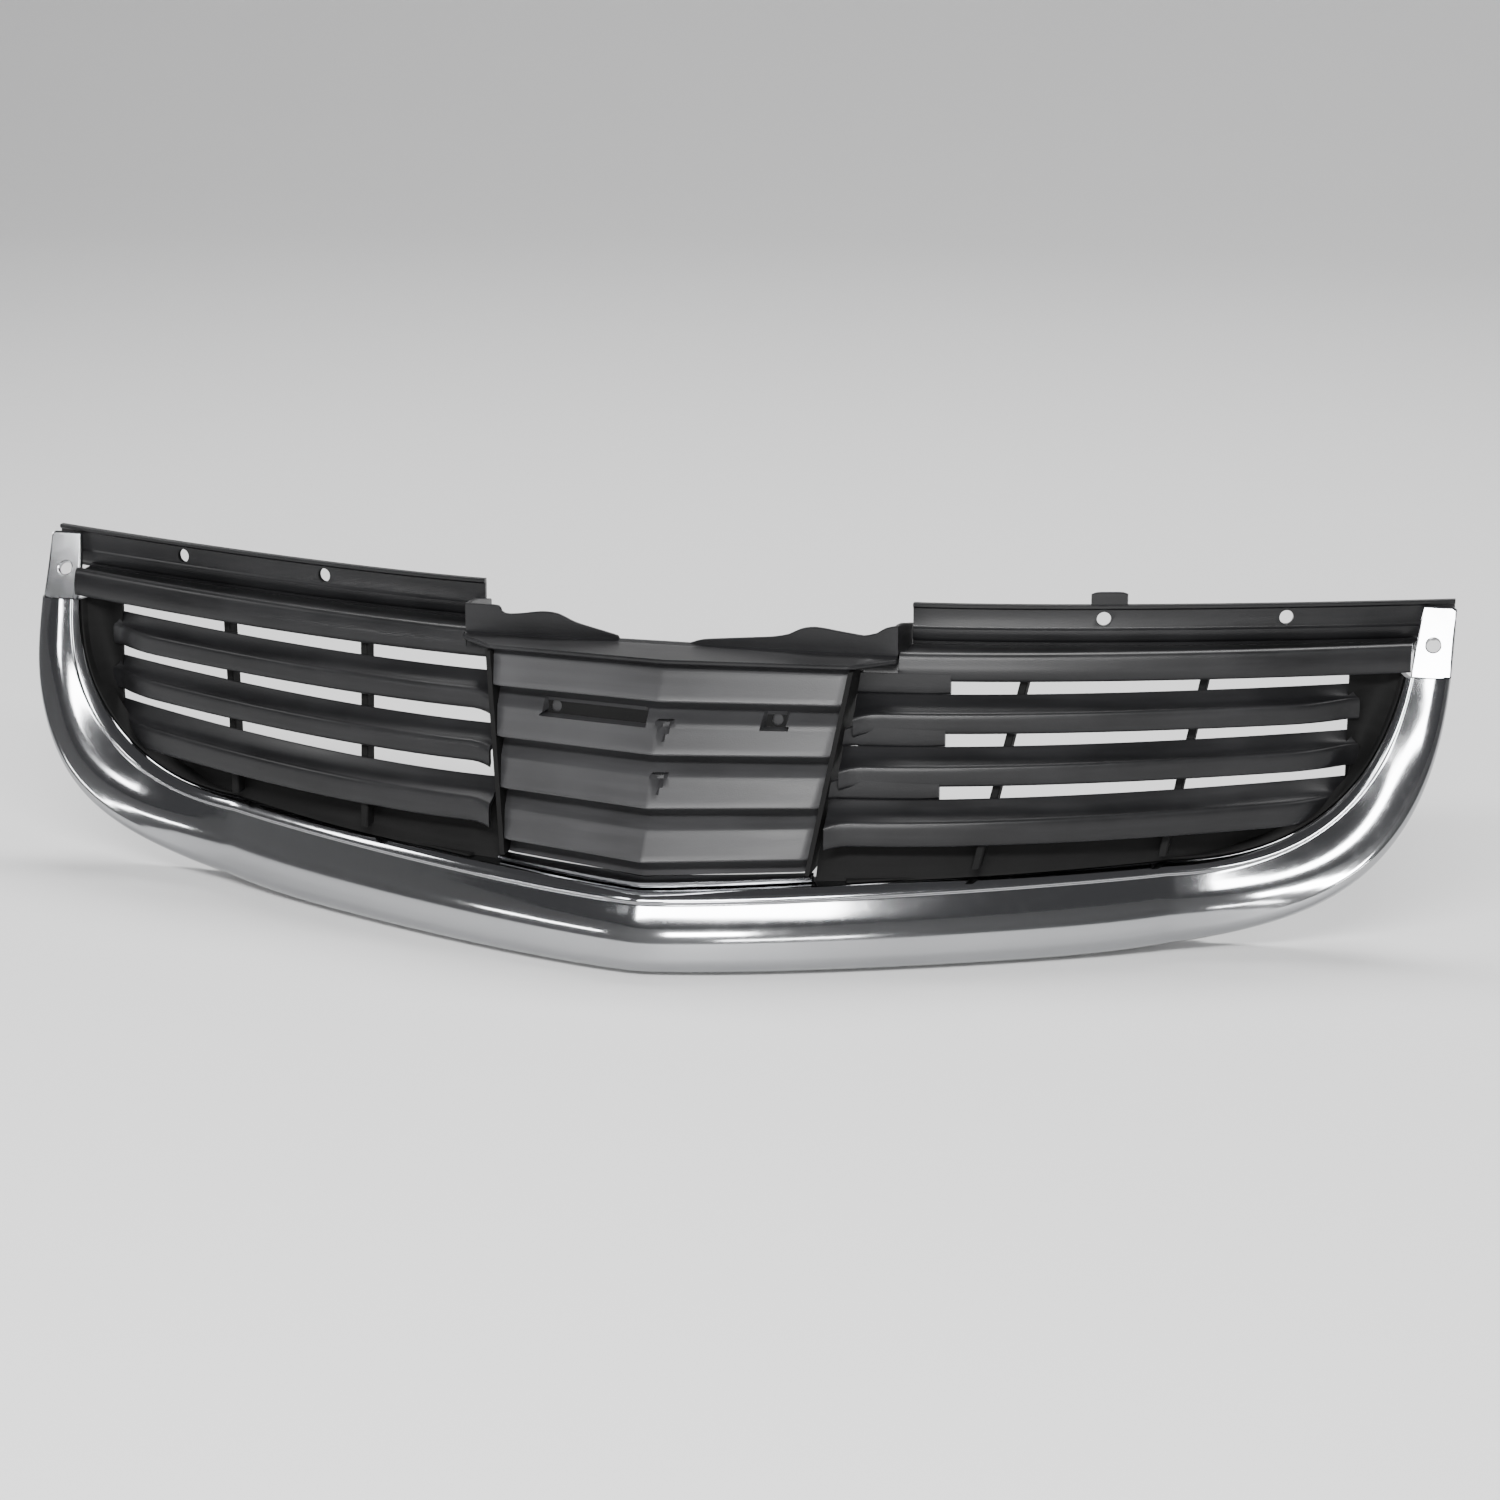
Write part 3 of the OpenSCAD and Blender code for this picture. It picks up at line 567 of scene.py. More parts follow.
profiles = {h: hiddenCurve("slatOutline", slatProfile(h)) for h in (louvre["height"], louvre["lastHeight"])}
slatKit, slatIds = slatTree(profiles[louvre["height"]])
for s, side in ((-1, "left"), (1, "right")):
    for row in (1, 2, 3):
        high = louvre["lastHeight"] if row == 3 else louvre["height"]
        piece = growMesh(f"slat{side.title()}{row}", slatKit, slatIds, {
            "Row": float(row), "Inner": (edgeX(rearZ(row)) + slat["endGap"]) / 1000,
            "Outer": louvre["outer"] / 1000, "Side": float(s), "Stations": slat["stations"],
            "Profile": profiles[high], "Depth Drop": 1 - louvre["depthOut"] / louvre["depthIn"],
            "Flare": slat["flare"] / 1000, "Flare Drop": slat["flareDrop"] / 1000,
            "Flare Run": slat["flareRun"] / 1000, "Rear Z": (originZ + rearZ(row)) / 1000,
            "Material": materials["black"]})
        finishPiece(piece, "black", [f"slat_{side}_{row}"], 40)
for o in profiles.values():
    bpy.data.objects.remove(o)

skirt = dict(end=172.0, proud=0.15, gap=0.02, tuck=1.3, tuckRun=0.4)


# Next to the panel the right noses run down to the slat below
def makeSkirt(row):
    noseZ = rearZ(row) - louvre["height"]
    rings = []
    start = edgeX(rearZ(row + 1)) + 2.0
    for x in steps(start, skirt["end"], 20):
        near = clamp01(1 - (x - start) / slat["flareRun"]) ** 2
        y = rearY(row, x) - slatDepth(x) - skirt["proud"] - (near * slat["flare"] if row else 0)
        behind = y - rearY(row + 1, x)
        foot = rearZ(row + 1) + skirt["gap"] - skirt["tuck"] * clamp01(behind / skirt["tuckRun"])
        drop = near * slat["flareDrop"] if row else 0
        front = [(x, y + 0.5, noseZ + 5.4 - drop), (x, y + 0.05, noseZ + 5.0 - drop), (x, y, noseZ + 3.0 - drop),
                 (x, y, noseZ), (x, y + 0.1, foot + 2.0), (x, y + 0.6, foot + 0.6), (x, y + 1.4, foot)]
        rings.append(front + [(x, y + 3, p[2]) for p in front[::-1]])
    finishPiece(ringTube(f"noseSkirt{row}", rings), "black", [], 40)


for row in (0, 1, 2):
    makeSkirt(row)
print("slats made")

# ---------- ribs ----------
rib = dict(thick=5.0, depth=14.0, lean=5.0, topRow=0.45, footRow=4.35, inner=214.0, outer=321.0, fin=1.2)


def ribRings(x1, s):
    rings = []
    for row in steps(rib["footRow"], rib["topRow"], 28):
        x = x1 - rib["lean"] * (row - 1)
        z, y = rearZ(row), rearY(row, x)
        h = rib["thick"] / 2
        front, back = y + 0.2, y + rib["depth"]
        rings.append([(s * (x - h), front + 1.0, z), (s * (x - h * 0.7), front + 0.2, z),
                      (s * (x + h * 0.7), front + 0.2 + 1.0, z), (s * (x + h), front + 2.0, z),
                      (s * (x + h), back - 0.6, z), (s * (x + h * 0.7), back, z),
                      (s * (x - h * 0.7), back, z), (s * (x - h), back - 0.6, z)])
    return rings


# the ribs take the darker copy of the black moulding: painted shade
for s, side in ((-1, "left"), (1, "right")):
    for which in ("inner", "outer"):
        finishPiece(ringTube(f"rib{side.title()}{which.title()}", ribRings(rib[which], s)), "paintedShadeBlack",
                    [f"rib_{side}_{which}"], 30)
print("ribs made")

# ---------- walls behind the louvres ----------
wall = dict(t=3.0, cheekTop=-29.2, cheekFoot=-128.0, baffleTop=3.3, baffleFoot=4.5, footDrop=1.2, seat=0.1)


def legInnerX(z):
    drop, p = plan["drop"] - plan["band"], plan["powerIn"]
    t = math.acos((min(-z, drop) / drop) ** (p / 2))
    reach = plan["halfWidth"] - plan["leg"] - plan["straightIn"]
    return plan["straightIn"] + reach * math.sin(t) ** (2 / p)


def makeEndCheek(s, side):
    rings = []
    x0 = louvre["outer"] + wall["seat"]
    for z in steps(wall["cheekTop"], wall["cheekFoot"], 32):
        row = 1 - (z - louvre["firstZ"]) / louvre["pitch"]
        y0 = rearY(row, louvre["outer"]) - 3
        lean = (plan["bandReturn"] / 2 + wall["t"]) * math.tan(sweepAngle(plan["halfWidth"]))
        x1 = max(legInnerX(z) - 0.3 - lean, x0 + 4)
        y1 = bandY(x1, z) + plan["bandReturn"] / 2
        n = 8
        front = [(s * lerp(x0, x1, i / n), lerp(y0, y1, smooth(i / n)) + 7 * math.sin(math.pi * i / n), z)
                 for i in range(n + 1)]
        rings.append(front + [(x, y + wall["t"], zz) for x, y, zz in front[::-1]])
    finishPiece(ringTube("endCheek" + side.title(), rings), "paintedShadeBlack", ["end_cheek_" + side], 40)


def lipLevel(x):
    x = abs(x)
    drop, p = plan["drop"] - plan["band"], plan["powerIn"]
    if x < plan["straightIn"]:
        return -drop + plan["lipRise"] * (x / plan["straightIn"] - 1)
    t = math.asin(((x - plan["straightIn"]) / (plan["halfWidth"] - plan["leg"] - plan["straightIn"])) ** (p / 2))
    return -drop * math.cos(t) ** (2 / p)


def makeBaffle(s, side):
    rings = []
    for x in steps(edgeX(panel["bottom"]) + wall["t"] + 2, louvre["outer"] - 5, 64):
        z1 = lipLevel(x)
        behind = rearY(wall["baffleFoot"], x) + 14 + 0.2 - bandY(x, z1) - plan["bandReturn"]
        foot = z1 + 0.2 - wall["footDrop"] * max(behind, 0)
        ring = []
        rows = steps(wall["baffleTop"], 1 + (rearZ(1) - foot) / louvre["pitch"], 5)
        for row in rows:
            ring.append((s * max(x, edgeX(rearZ(row)) + 3.3), rearY(row, x) + 14.2, rearZ(row)))
        for row in rows[::-1]:
            ring.append((s * max(x, edgeX(rearZ(row)) + 3.3), rearY(row, x) + 17.2, rearZ(row)))
        rings.append(ring)
    finishPiece(ringTube("lowerBaffle" + side.title(), rings), "paintedShadeBlack", ["lower_baffle_" + side], 40)


# The insert's own edge stands just inside the bright lip and hides the band's return
def makeRim(s, side):
    rings = []
    for u in [0.40 + 0.6 * i / 24 for i in range(25)] + [1 + i / 48 for i in range(1, 49)]:
        o, i = outerXZ(u), innerXZ(u)
        into = Vector((s * (i[0] - o[0]), 0, i[1] - o[1])).normalized()
        pi = Vector((s * i[0], bandY(*i), i[1]))
        a = s * sweepAngle((o[0] + i[0]) / 2)
        f = Vector((math.sin(a), -math.cos(a), 0))
        rings.append([pi + into * g + f * d for g, d in ((0.3, -1.4), (1.0, -1.0), (1.7, -1.6), (1.8, -15.0), (0.3, -15.0))])
        rings[-1].append(pi + into * 0.3 + f * -8.0)
    finishPiece(ringTube("insertRim" + side.title(), rings), "paintedShadeBlack", [], 40)


# the end cheeks, baffles and rims take the darker copy of the black moulding: painted shade
for s, side in ((-1, "left"), (1, "right")):
    makeEndCheek(s, side)
    makeBaffle(s, side)
    makeRim(s, side)
print("walls made")

# ---------- flange and rail ----------
flange = dict(height=26.0, wall=3.0, holes=(257.0, 367.0), holeR=4.5, holeDrop=9.0, tabX=260.0, tabW=22.0, tabH=8.0)
# [forward of the flange's face, down from its top edge]
flangeFace = [(1.0, 0.0), (1.4, 0.5), (1.4, 2.0), (0.9, 2.7), (0.0, 3.2), (0.0, 14.0), (0.5, 15.0), (1.6, 16.0),
              (1.8, 18.0), (1.8, 21.5), (1.2, 23.0), (0.2, 24.0), (0.0, 26.0)]


def flangeRing(x, s):
    y, a = flangeY(x), math.atan(flangeY(x + 1) - flangeY(x))
    front = [(s * (x + f * math.sin(a)), y - f * math.cos(a), -d) for f, d in flangeFace]
    back = [(s * x, y + flange["wall"], -d) for _, d in flangeFace]
    return front + back[::-1]


def cutHoles(obj, cutters):
    for cutter in cutters:
        mod = obj.modifiers.new("cut", "BOOLEAN")
        mod.operation, mod.solver, mod.object = "DIFFERENCE", "EXACT", cutter
    deps = bpy.context.evaluated_depsgraph_get()
    mesh = bpy.data.meshes.new_from_object(obj.evaluated_get(deps))
    obj.modifiers.clear()
    obj.data = mesh
    for cutter in cutters:
        bpy.data.objects.remove(cutter)


def rod(centre, axis, radius, length, sides=40):
    bm = bmesh.new()
    turn = Vector(axis).to_track_quat("Z", "Y").to_matrix().to_4x4()
    bmesh.ops.create_cone(bm, cap_ends=True, segments=sides, radius1=radius / 1000, radius2=radius / 1000,
                          depth=length / 1000, matrix=Matrix.Translation(toWorld(centre)) @ turn)
    mesh = bpy.data.meshes.new("rod")
    bm.to_mesh(mesh)
    bm.free()
    obj = bpy.data.objects.new("rod", mesh)
    bpy.context.scene.collection.objects.link(obj)
    return obj


def makeFlange(s, side):
    xs = steps(plan["flangeInner"], plan["flangeEnd"], 60)
    obj = ringTube("flange" + side.title(), [flangeRing(x, s) for x in xs])
    cutters = []
    for x in flange["holes"]:
        a = math.atan(flangeY(x + 1) - flangeY(x))
        cutters.append(rod((s * x, flangeY(x), -flange["holeDrop"]), (s * math.sin(a), -math.cos(a), 0),
                           flange["holeR"], 24))
    cutHoles(obj, cutters)
    finishPiece(obj, "black", ["top_flange_" + side], 28)
    if s > 0:
        t0, t1 = flange["tabX"] - flange["tabW"] / 2, flange["tabX"] + flange["tabW"] / 2
        rings = []
        for x in steps(t0, t1, 8):
            y = flangeY(x)
            edge = 1.2 * max(0, abs(x - flange["tabX"]) / (flange["tabW"] / 2) - 0.7) / 0.3
            top = flange["tabH"] - edge
            rings.append([(x, y + 0.2, -1), (x, y + 0.2, top - 0.6), (x, y + 0.8, top),
                          (x, y + 2.2, top), (x, y + 2.8, top - 0.6), (x, y + 2.8, -1)])
        finishPiece(ringTube("flangeTab", rings), "black", [], 30)


# [behind the rail's face, up from its nose, share of the height]
def makeRail(s, side):
    noseZ = louvre["firstZ"] + louvre["pitch"] - louvre["height"]
    face = [(9.6, 1.0), (6.5, 1.03), (3.8, 0.97), (2.4, 0.86), (1.6, 0.74), (0.8, 0.60), (0.2, 0.45), (0.0, 0.28),
            (0.4, 0.10), (1.4, 0.0)]
    rings = []
    for x in [edgeX(-28) + 3.4, 124, 130, 136, 139.6] + steps(140, 445.4, 60):
        tall = 12.1 if x < 139.7 else 17.0
        y = rearY(0, x) - slatDepth(x)
        front = [(s * x, y + f, noseZ + h * tall) for f, h in spline(face, 2)]
        back = [(s * x, y + f + 2.6 * (1 - h * 0.55), noseZ + h * tall - 2.4 * h) for f, h in spline(face, 2)]
        rings.append(front + back[::-1])
    obj = ringTube("rail" + side.title(), rings)
    xs = steps(140, 445.4, 60)
    verts = [(s * x, y, z) for x in xs for y, z in (
        (rearY(0, x) - slatDepth(x) + 4, -29), (rearY(0, x) - slatDepth(x) + 4, -26.2),
        (flangeY(x) + 2.9, -26.2), (flangeY(x) + 2.9, -29))]
    n = len(xs)
    faces = [(k * 4 + i, k * 4 + (i + 1) % 4, (k + 1) * 4 + (i + 1) % 4, (k + 1) * 4 + i)
             for k in range(n - 1) for i in range(4)] + [(0, 1, 2, 3), tuple((n - 1) * 4 + i for i in (3, 2, 1, 0))]
    floor = newObject("railFloor" + side.title(), verts, faces)
    finishPiece(obj, "black", ["top_rail_" + side], 30)
    finishPiece(floor, "black", [], 30)


for s, side in ((-1, "left"), (1, "right")):
    makeFlange(s, side)
    makeRail(s, side)
print("flanges made")

# ---------- centre panel ----------
centre = dict(columns=112, groove=9.0, grooveDeep=14.0, holeR=3.5, holeGap=142.0, pocketX=3.5, pocketRun=6.5, pocketDeep=6.0)
# [share of the pitch, share of the step set back] down one band
bandSection = [(0.0, 0.66), (0.06, 0.52), (0.105, 0.425), (0.125, 0.385), (0.15, 0.36), (0.20, 0.33),
               (0.32, 0.24), (0.45, 0.145), (0.56, 0.06), (0.63, 0.01), (0.665, 0.0), (0.69, 0.03), (0.705, 0.12),
               (0.715, 0.35), (0.725, 0.7), (0.745, 0.96), (0.78, 1.0), (0.82, 0.99), (0.90, 0.84)]


def makePanel():
    pitch = (panel["top"] - panel["bottom"]) / panel["bands"]
    levels = [(b, q, sh) for b in range(panel["bands"]) for q, sh in bandSection] + [(panel["bands"] - 1, 1.0, 0.66)]
    levels += [(1, q, sh) for q, sh in ((0.227, 0.312), (0.232, 0.308))]
    levels.sort(key=lambda v: v[0] + v[1])
    cols = [-1 + 2 * i / centre["columns"] for i in range(centre["columns"] + 1)]
    grooveZ = panel["top"] - 1.08 * pitch
    front, back = [], []
    for b, q, sh in levels:
        z = panel["top"] - (b + q) * pitch
        rowF, rowB = [], []
        for c in cols:
            x = c * (edgeX(z) - 0.3)
            v = abs(c)
            base = lerp(creaseY(z), edgeY(z), v)
            y = base + sh * panel["step"]
            if b in (1, 2) and 0.08 < q < 0.42:
                reach = centre["pocketRun"] * (0.42 - q) / 0.34
                near = clamp01(1 - abs(x - centre["pocketX"]) / max(reach, 0.1))
                y += centre["pocketDeep"] * smooth(near * 2.2)
            if abs(z - grooveZ) <= centre["groove"] / 2 and (-78 < x < -8 or 64 < x < 78):
                y = max(y, base + centre["grooveDeep"])
            y += 1.2 * smooth((v - 0.96) / 0.04)
            rowF.append((x, y, z))
            rowB.append((x, base + panel["step"] + panel["back"], z))
        front.append(rowF)
        back.append(rowB)
    n, m = len(cols), len(levels)
    verts = [p for r in front for p in r] + [p for r in back for p in r]
    faces = []
    for k in range(m - 1):
        for i in range(n - 1):
            a = k * n + i
            faces.append((a, a + n, a + n + 1, a + 1))
            d = m * n + a
            faces.append((d, d + 1, d + n + 1, d + n))
        faces.append((k * n, m * n + k * n, m * n + (k + 1) * n, (k + 1) * n))
        e = k * n + n - 1
        faces.append((e, e + n, m * n + e + n, m * n + e))
    for i in range(n - 1):
        faces.append((i, i + 1, m * n + i + 1, m * n + i))
        e = (m - 1) * n + i
        faces.append((e, m * n + e, m * n + e + 1, e + 1))
    obj = newObject("centrePanel", verts, faces)
    half = centre["holeGap"] / 2
    floorY = lerp(creaseY(grooveZ), edgeY(grooveZ), half / edgeX(grooveZ)) + panel["step"] + panel["back"] - 3
    drills = lambda: [rod((s * half, floorY - 20, grooveZ), (0, 1, 0), centre["holeR"], 40) for s in (-1, 1)]
    cutHoles(obj, drills())
    finishPiece(obj, "grey", ["centre_panel"], 34)
    # a dark matt sheet on the floor of the emblem's groove: painted shade
    verts, faces = [], []
    for x0, x1 in ((-77.8, -8.2), (64.2, 77.8)):
        xs = steps(x0, x1, 8)
        n = len(verts)
        for x in xs:
            for d, z in ((-0.4, 4.3), (-0.4, -4.3), (0.3, -4.3), (0.3, 4.3)):
                v = abs(x) / edgeX(grooveZ + z)
                verts.append((x, lerp(creaseY(grooveZ + z), edgeY(grooveZ + z), v) + centre["grooveDeep"] + d, grooveZ + z))
        faces += [(n + k * 4 + i, n + k * 4 + (i + 1) % 4, n + (k + 1) * 4 + (i + 1) % 4, n + (k + 1) * 4 + i)
                  for k in range(len(xs) - 1) for i in range(4)]
        last = n + (len(xs) - 1) * 4
        faces += [(n, n + 1, n + 2, n + 3), (last + 3, last + 2, last + 1, last)]
    shadeSheet = newObject("grooveLiner", verts, faces)
    cutHoles(shadeSheet, drills())
    finishPiece(shadeSheet, "paintedShadeBlack", [], 30)


makePanel()
print("panel made")

# ---------- bridge ----------
bridge = dict(y=-44.0, wall=3.0, shelf=-27.9, half=139.7)
# [x, z] along the upstand's top edge
bridgeEdge = [(-139.7, -6.0), (-118, -6.2), (-116.6, -6.6), (-116, -11.2), (-114, -11.6), (-108, -11.5), (-100, -10.3),
              (-93, -9.0), (-86, -8.5), (-79, -9.3), (-68, -14.6), (-40, -21.4), (-39.2, -21.9), (-39, -25.6),
              (-36, -26.2), (-4, -26.2), (2, -25.6), (9, -22.3), (15, -20.6), (62, -16.3), (70, -14.4), (78, -10.0),
              (84, -8.7), (90, -8.7), (100, -10.2), (121, -12.9), (126, -10.5), (132, -6.2), (139.7, -5.0)]


def makeBridge():
    y0, y1 = bridge["y"], bridge["y"] + bridge["wall"]
    pts = []
    for i in range(len(bridgeEdge) - 1):
        a, b = bridgeEdge[i], bridgeEdge[i + 1]
        k = max(1, int(math.hypot(b[0] - a[0], b[1] - a[1]) / 3))
        pts += [(lerp(a[0], b[0], j / k), lerp(a[1], b[1], j / k)) for j in range(k)]
    pts.append(bridgeEdge[-1])
    for _ in range(2):
        pts = [pts[0]] + [(pts[i][0], (pts[i - 1][1] + 2 * pts[i][1] + pts[i + 1][1]) / 4)
                          for i in range(1, len(pts) - 1)] + [pts[-1]]
    rings = [[(x, y0, bridge["shelf"]), (x, y0, z - 0.6), (x, y0 + 0.6, z), (x, y1 - 0.6, z),
              (x, y1, z - 0.6), (x, y1, bridge["shelf"])] for x, z in pts]
    finishPiece(ringTube("bridgeUpstand", rings), "black", ["centre_bridge"], 34)
    # the shelf runs forward over the panel with a soft front edge
    xs = [-bridge["half"], -128] + steps(-116, 116, 58) + [128, bridge["half"]]
    rings = []
    for x in xs:
        v = clamp01(abs(x) / edgeX(panel["top"]))
        yf = lerp(creaseY(panel["top"]), edgeY(panel["top"]), v)
        if abs(x) > 115:
            yf = lerp(edgeY(panel["top"]), bridge["y"] - 6, clamp01((abs(x) - 115) / (bridge["half"] - 115)))
        z0, z1 = bridge["shelf"], bridge["shelf"] + bridge["wall"]
        rings.append([(x, yf + 0.8, z0), (x, yf, z0 + 0.9), (x, yf, z1 - 0.9), (x, yf + 0.8, z1),
                      (x, y0 - 1.5, z1 + 0.1), (x, y0 + 0.4, z1 + 1.4), (x, y1 - 0.1, z1 + 1.4), (x, y1 - 0.1, z0)])
    finishPiece(ringTube("bridgeShelf", rings), "black", [], 34)
    for s, side in ((-1, "Left"), (1, "Right")):
        xa, xb = bridge["half"] - 2.9, bridge["half"] - 0.1
        crest = [(y0 + 0.2, -5.8), (y0 + 8, -5.8), (-24, -7.4), (-12, -10.2), (3, -13.4)]
        rings = [[(s * xa, y, bridge["shelf"]), (s * xa, y, z - 0.5), (s * (xa + 0.5), y, z),
                  (s * (xb - 0.5), y, z), (s * xb, y, z - 0.5), (s * xb, y, bridge["shelf"])] for y, z in crest]
        finishPiece(ringTube("bridgeSide" + side, rings), "black", [], 30)


makeBridge()
print("bridge made")

# ---------- bright ledge ----------
ledge = dict(half=100.0, side=0.55)


def lipZ(x):
    return -(plan["drop"] - plan["band"]) + plan["lipRise"] * (abs(x) / plan["straightIn"] - 1)


def makeLedge():
    section = spline([(0.0, 0.0), (0.06, 0.3), (0.30, 1.2), (0.36, 1.8), (0.40, 4.0), (0.44, 6.5), (0.50, 7.0),
                      (0.80, 7.6), (0.90, 8.4), (0.96, 11), (1.0, 13.0)], 2)
    rings = []
    for x in steps(-ledge["half"], ledge["half"], 80):
        top = panel["bottom"] - 0.3
        h = top - lipZ(x) - 0.3
        y = bandY(x, -152) + plan["bandReturn"] - 0.3
        reach = lerp(1, ledge["side"], abs(x) / ledge["half"]) * 20
        front = [(x, y - reach * (1 - b / 20), top - a * h) for a, b in section]
        rings.append(front + [(x, y, p[2]) for p in front[::-1]])
    finishPiece(ringTube("pocketLedge", rings), "chrome", ["centre_ledge"], 40)


makeLedge()
print("ledge made")

# ---------- fasteners ----------
screw = dict(headR=4.5, headH=2.6, shankR=2.1, length=14.0, at=(0.2, 0.52, 0.84), share=0.52)


def screwMaster():
    bm = bmesh.new()
    outline = [(0, 0.5), (1.2, 0.3), (2.6, 0.0), (4.0, 0.35), (4.5, 1.2), (4.5, 2.2), (4.1, 2.6), (2.1, 2.6)]
    z = 2.6
    while z < screw["length"]:
        outline += [(2.1, z + 0.5), (1.75, z + 0.9), (2.1, z + 1.3)]
        z += 1.3
    outline += [(1.4, screw["length"] + 1.4), (0.2, screw["headH"] + screw["length"])]
    sides = 24
    rows = [[bm.verts.new((r / 1000 * math.cos(2 * math.pi * k / sides), r / 1000 * math.sin(2 * math.pi * k / sides),
                           h / 1000)) for k in range(sides)] for r, h in outline[1:]]
    tip = bm.verts.new((0, 0, outline[0][1] / 1000))
    for k in range(sides):
        bm.faces.new((tip, rows[0][(k + 1) % sides], rows[0][k]))
    for a, b in zip(rows, rows[1:]):
        for k in range(sides):
            bm.faces.new((a[k], a[(k + 1) % sides], b[(k + 1) % sides], b[k]))
    bm.faces.new(rows[-1])
    mesh = bpy.data.meshes.new("screwMaster")
    bm.to_mesh(mesh)
    bm.free()
    obj = bpy.data.objects.new("screwMaster", mesh)
    bpy.context.scene.collection.objects.link(obj)
    cross = []
    for turn in (0, math.pi / 2):
        cutter = rod((0, 0, 0), (0, 0, 1), 1, 1, 4)
        cutter.data.clear_geometry()
        bm = bmesh.new()
        bmesh.ops.create_cube(bm, size=1, matrix=Matrix.Rotation(turn, 4, "Z") @ Matrix.Diagonal(
            (0.0046, 0.0009, 0.0026, 1)))
        bm.to_mesh(cutter.data)
        bm.free()
        cross.append(cutter)
    cutHoles(obj, cross)
    return obj


def tongueMaster():
    bm = bmesh.new()
    outline = [(0, 0), (0, 3), (15.5, 3), (16.2, 4.6), (17.4, 5.0), (18.4, 4.4), (20, 1.6), (19.4, 0.5), (17, 0)]
    for x in (-9, 9):
        for y, z in outline:
            bm.verts.new((x / 1000, y / 1000, z / 1000))
    bm.verts.ensure_lookup_table()
    n = len(outline)
    bm.faces.new([bm.verts[i] for i in range(n)])
    bm.faces.new([bm.verts[n + i] for i in reversed(range(n))])
    for i in range(n):
        j = (i + 1) % n
        bm.faces.new([bm.verts[q] for q in (i, n + i, n + j, j)])
    bmesh.ops.recalc_face_normals(bm, faces=bm.faces)
    bmesh.ops.bevel(bm, geom=bm.edges[:], offset=0.0004, segments=2, affect="EDGES", profile=0.5)
    mesh = bpy.data.meshes.new("tongueMaster")
    bm.to_mesh(mesh)
    bm.free()
    obj = bpy.data.objects.new("tongueMaster", mesh)
    bpy.context.scene.collection.objects.link(obj)
    return obj


def pointCloud(name, spots):
    mesh = bpy.data.meshes.new(name)
    mesh.from_pydata([p for p, _ in spots], [], [])
    turn = mesh.attributes.new("turn", "FLOAT_VECTOR", "POINT")
    for i, (_, r) in enumerate(spots):
        turn.data[i].vector = r
    obj = bpy.data.objects.new(name, mesh)
    bpy.context.scene.collection.objects.link(obj)
    return obj


def scatter(name, spots, master, finish):
    cloud = pointCloud(name + "Spots", spots)
    kit, w, ids = newTree(name + "Row", {"Spots": cloud, "Master": master, "Size": 1.0, "Material": materials[finish]})
    points = kit.node("GeometryNodeObjectInfo", None, {"Object": w["Spots"]}, "Geometry")
    item = kit.node("GeometryNodeObjectInfo", None, {"Object": w["Master"]}, "Geometry")
    turn = kit.node("GeometryNodeInputNamedAttribute", dict(data_type="FLOAT_VECTOR"), {"Name": "turn"})
    placed = kit.node("GeometryNodeInstanceOnPoints", None,
                      {"Points": points, "Instance": item, "Rotation": turn, "Scale": w["Size"]})
    closeTree(kit, placed, w["Material"])
    obj = growMesh(name, kit, ids, {"Spots": cloud, "Master": master, "Size": 1.0, "Material": materials[finish]})
    for o in (cloud, master):
        bpy.data.objects.remove(o)
    return obj


def screwSpots():
    spots = []
    for s in (-1, 1):
        for u in screw["at"]:
            o, i = outerXZ(u), innerXZ(u)
            x, z = lerp(i[0], o[0], screw["share"]), lerp(i[1], o[1], screw["share"])
            a = s * sweepAngle(x)
            d = plan["bandReturn"] + plan["wall"] + 0.6 + screw["headH"]
            base = (s * x - math.sin(a) * d, bandY(x, z) + math.cos(a) * d, z)
            spots.append((toWorld(base), (math.pi / 2, 0, a)))
    return spots


def tongueSpots():
    z1 = -(plan["drop"] - plan["band"]) - 2
    spots = []
    for s in (-1, 1):
        for x in (95, 235):
            y = bandY(x, z1) + (plan["bandReturn"] + 0.3) / math.cos(sweepAngle(x)) + plan["wall"]
            a = s * sweepAngle(x)
            base = (s * x - math.sin(a) * 0.3, y + math.cos(a) * 0.3, -plan["drop"] + 9)
            spots.append((toWorld(base), (0, 0, a)))
    return spots


finishPiece(scatter("bandScrews", screwSpots(), screwMaster(), "steel"), "steel", ["surround_screws"], 30)
finishPiece(scatter("bumperTongues", tongueSpots(), tongueMaster(), "black"), "black", ["lower_tabs"], 30)
print("fasteners made")

# ---------- the frame's own pieces ----------
for name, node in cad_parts.items():
    if not node.hide_render:
        # the frame's cheeks take the darker copy of the black moulding: painted shade
        finish = "paintedShadeBlack" if "cheek" in name else "black"
        for k in range(max(1, len(node.data.materials))):
            if len(node.data.materials):
                node.data.materials[k] = materials[finish]
            else:
                node.data.materials.append(materials[finish])

# ---------- stage ----------
low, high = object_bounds()
middle = (Vector(low) + Vector(high)) / 2
stage = dict(radius=7.5, shift=-2.4, rise=4.5, bend=2.2, gap=0.0006, sides=96)


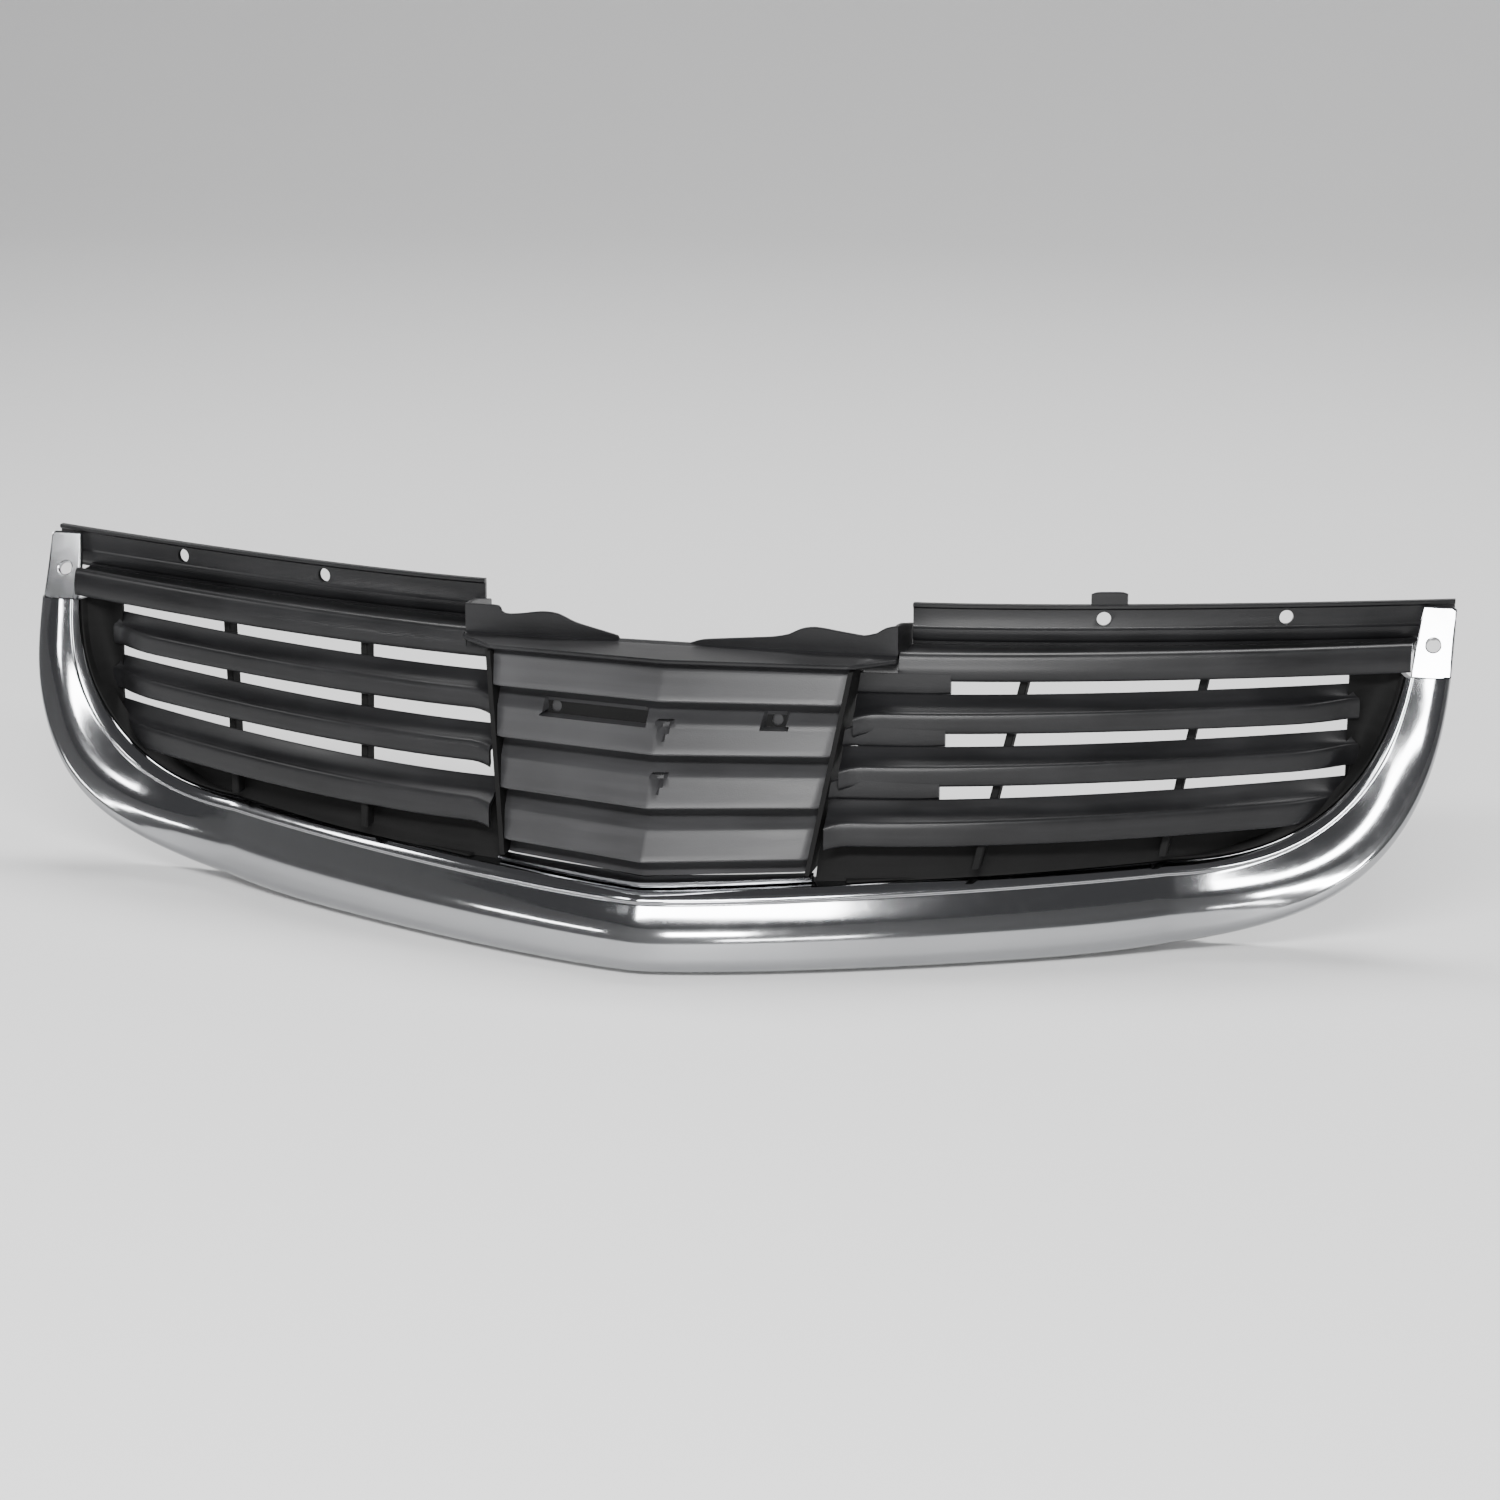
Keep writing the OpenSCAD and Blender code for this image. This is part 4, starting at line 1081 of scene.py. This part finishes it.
def makeStage():
    floorZ = Vector(low).z - stage["gap"]
    section = [(0.4, 0.0), (1.5, 0.0), (3.2, 0.0), (stage["radius"] - stage["bend"], 0.0)]
    for k in range(1, 13):
        a = math.pi / 2 * k / 12
        section.append((stage["radius"] - stage["bend"] * (1 - math.sin(a)), stage["bend"] * (1 - math.cos(a))))
    section.append((stage["radius"], stage["rise"]))
    n = len(section)
    verts = [(r * math.sin(2 * math.pi * k / stage["sides"]), stage["shift"] + r * math.cos(
        2 * math.pi * k / stage["sides"]), z + floorZ) for k in range(stage["sides"]) for r, z in section]
    faces = [(k * n + i, k * n + i + 1, (k + 1) % stage["sides"] * n + i + 1, (k + 1) % stage["sides"] * n + i)
             for k in range(stage["sides"]) for i in range(n - 1)]
    faces.append(tuple(k * n for k in range(stage["sides"])))
    mesh = bpy.data.meshes.new("paleStage")
    mesh.from_pydata(verts, [], faces)
    bm = bmesh.new()
    bm.from_mesh(mesh)
    bmesh.ops.recalc_face_normals(bm, faces=bm.faces)
    if bm.faces[-1].normal.z < 0 or bm.faces[0].normal.z < 0:
        bmesh.ops.reverse_faces(bm, faces=bm.faces)
    for f in bm.faces:
        f.smooth = True
    bm.to_mesh(mesh)
    bm.free()
    mesh.materials.append(materials["floor"])
    obj = bpy.data.objects.new("paleStage", mesh)
    bpy.context.scene.collection.objects.link(obj)


makeStage()

# [name, azimuth, elevation, distance, width, height, power]; azimuth 0 is straight in front
lamps = [("keyBox", 7, 40, 2.6, 1.9, 0.36, 92), ("frontLow", 13, 14, 3.3, 0.8, 0.34, 50),
         ("noseStrip", 24, 3, 3.1, 0.8, 0.05, 5), ("rightEdge", 84, 34, 2.6, 0.25, 0.5, 9),
         ("leftEar", -35, 39, 2.78, 0.34, 0.26, 7), ("leftStrip", -46, 8, 2.6, 0.9, 0.06, 7),
         ("leftEdge", -80, 34, 2.6, 0.22, 0.5, 8), ("topSoft", 180, 62, 2.8, 2.6, 0.9, 105),
         ("backWall", 180, 8, 1.2, 2.4, 0.3, 30), ("frontWall", 0, 8, 1.2, 3.0, 0.4, 60)]
for name, az, el, far, w, h, power in lamps:
    a, e = math.radians(az), math.radians(el)
    away = Vector((math.sin(a) * math.cos(e), -math.cos(a) * math.cos(e), math.sin(e)))
    lamp = bpy.data.lights.new(name, "AREA")
    lamp.shape, lamp.size, lamp.size_y, lamp.energy = "RECTANGLE", w, h, power
    obj = bpy.data.objects.new(name, lamp)
    obj.location = middle + away * far
    obj.rotation_euler = away.to_track_quat("Z", "Y").to_euler()
    if name.endswith("Wall"):
        turn = 1 if name == "backWall" else -1
        obj.location = Vector((0, 2.6, 3.2) if turn > 0 else (0, -5.5, 3.6))
        obj.rotation_euler = Vector((0, -0.75 * turn, 0.66)).to_track_quat("Z", "Y").to_euler()
    bpy.context.scene.collection.objects.link(obj)

world = bpy.data.worlds.new("softRoom")
world.use_nodes = True
world.node_tree.nodes["Background"].inputs["Color"].default_value = (0.13, 0.13, 0.135, 1)
world.node_tree.nodes["Background"].inputs["Strength"].default_value = 1.0
bpy.context.scene.world = world

# ---------- camera ----------
view = dict(azimuth=14.0, elevation=15.0, distance=2.8483, aimX=0.0326, aimZ=0.1105, aimY=0.0225, lens=108.01)
a, e = math.radians(view["azimuth"]), math.radians(view["elevation"])
away = Vector((math.sin(a) * math.cos(e), -math.cos(a) * math.cos(e), math.sin(e)))
cam = bpy.data.cameras.new("camera")
cam.lens, cam.sensor_width = view["lens"], 36
camObj = bpy.data.objects.new("camera", cam)
camObj.rotation_euler = away.to_track_quat("Z", "Y").to_euler()
camObj.location = toWorld((704.55, -2686.75, 639.79))
bpy.context.scene.collection.objects.link(camObj)
bpy.context.scene.camera = camObj
print("stage, lights and camera set")
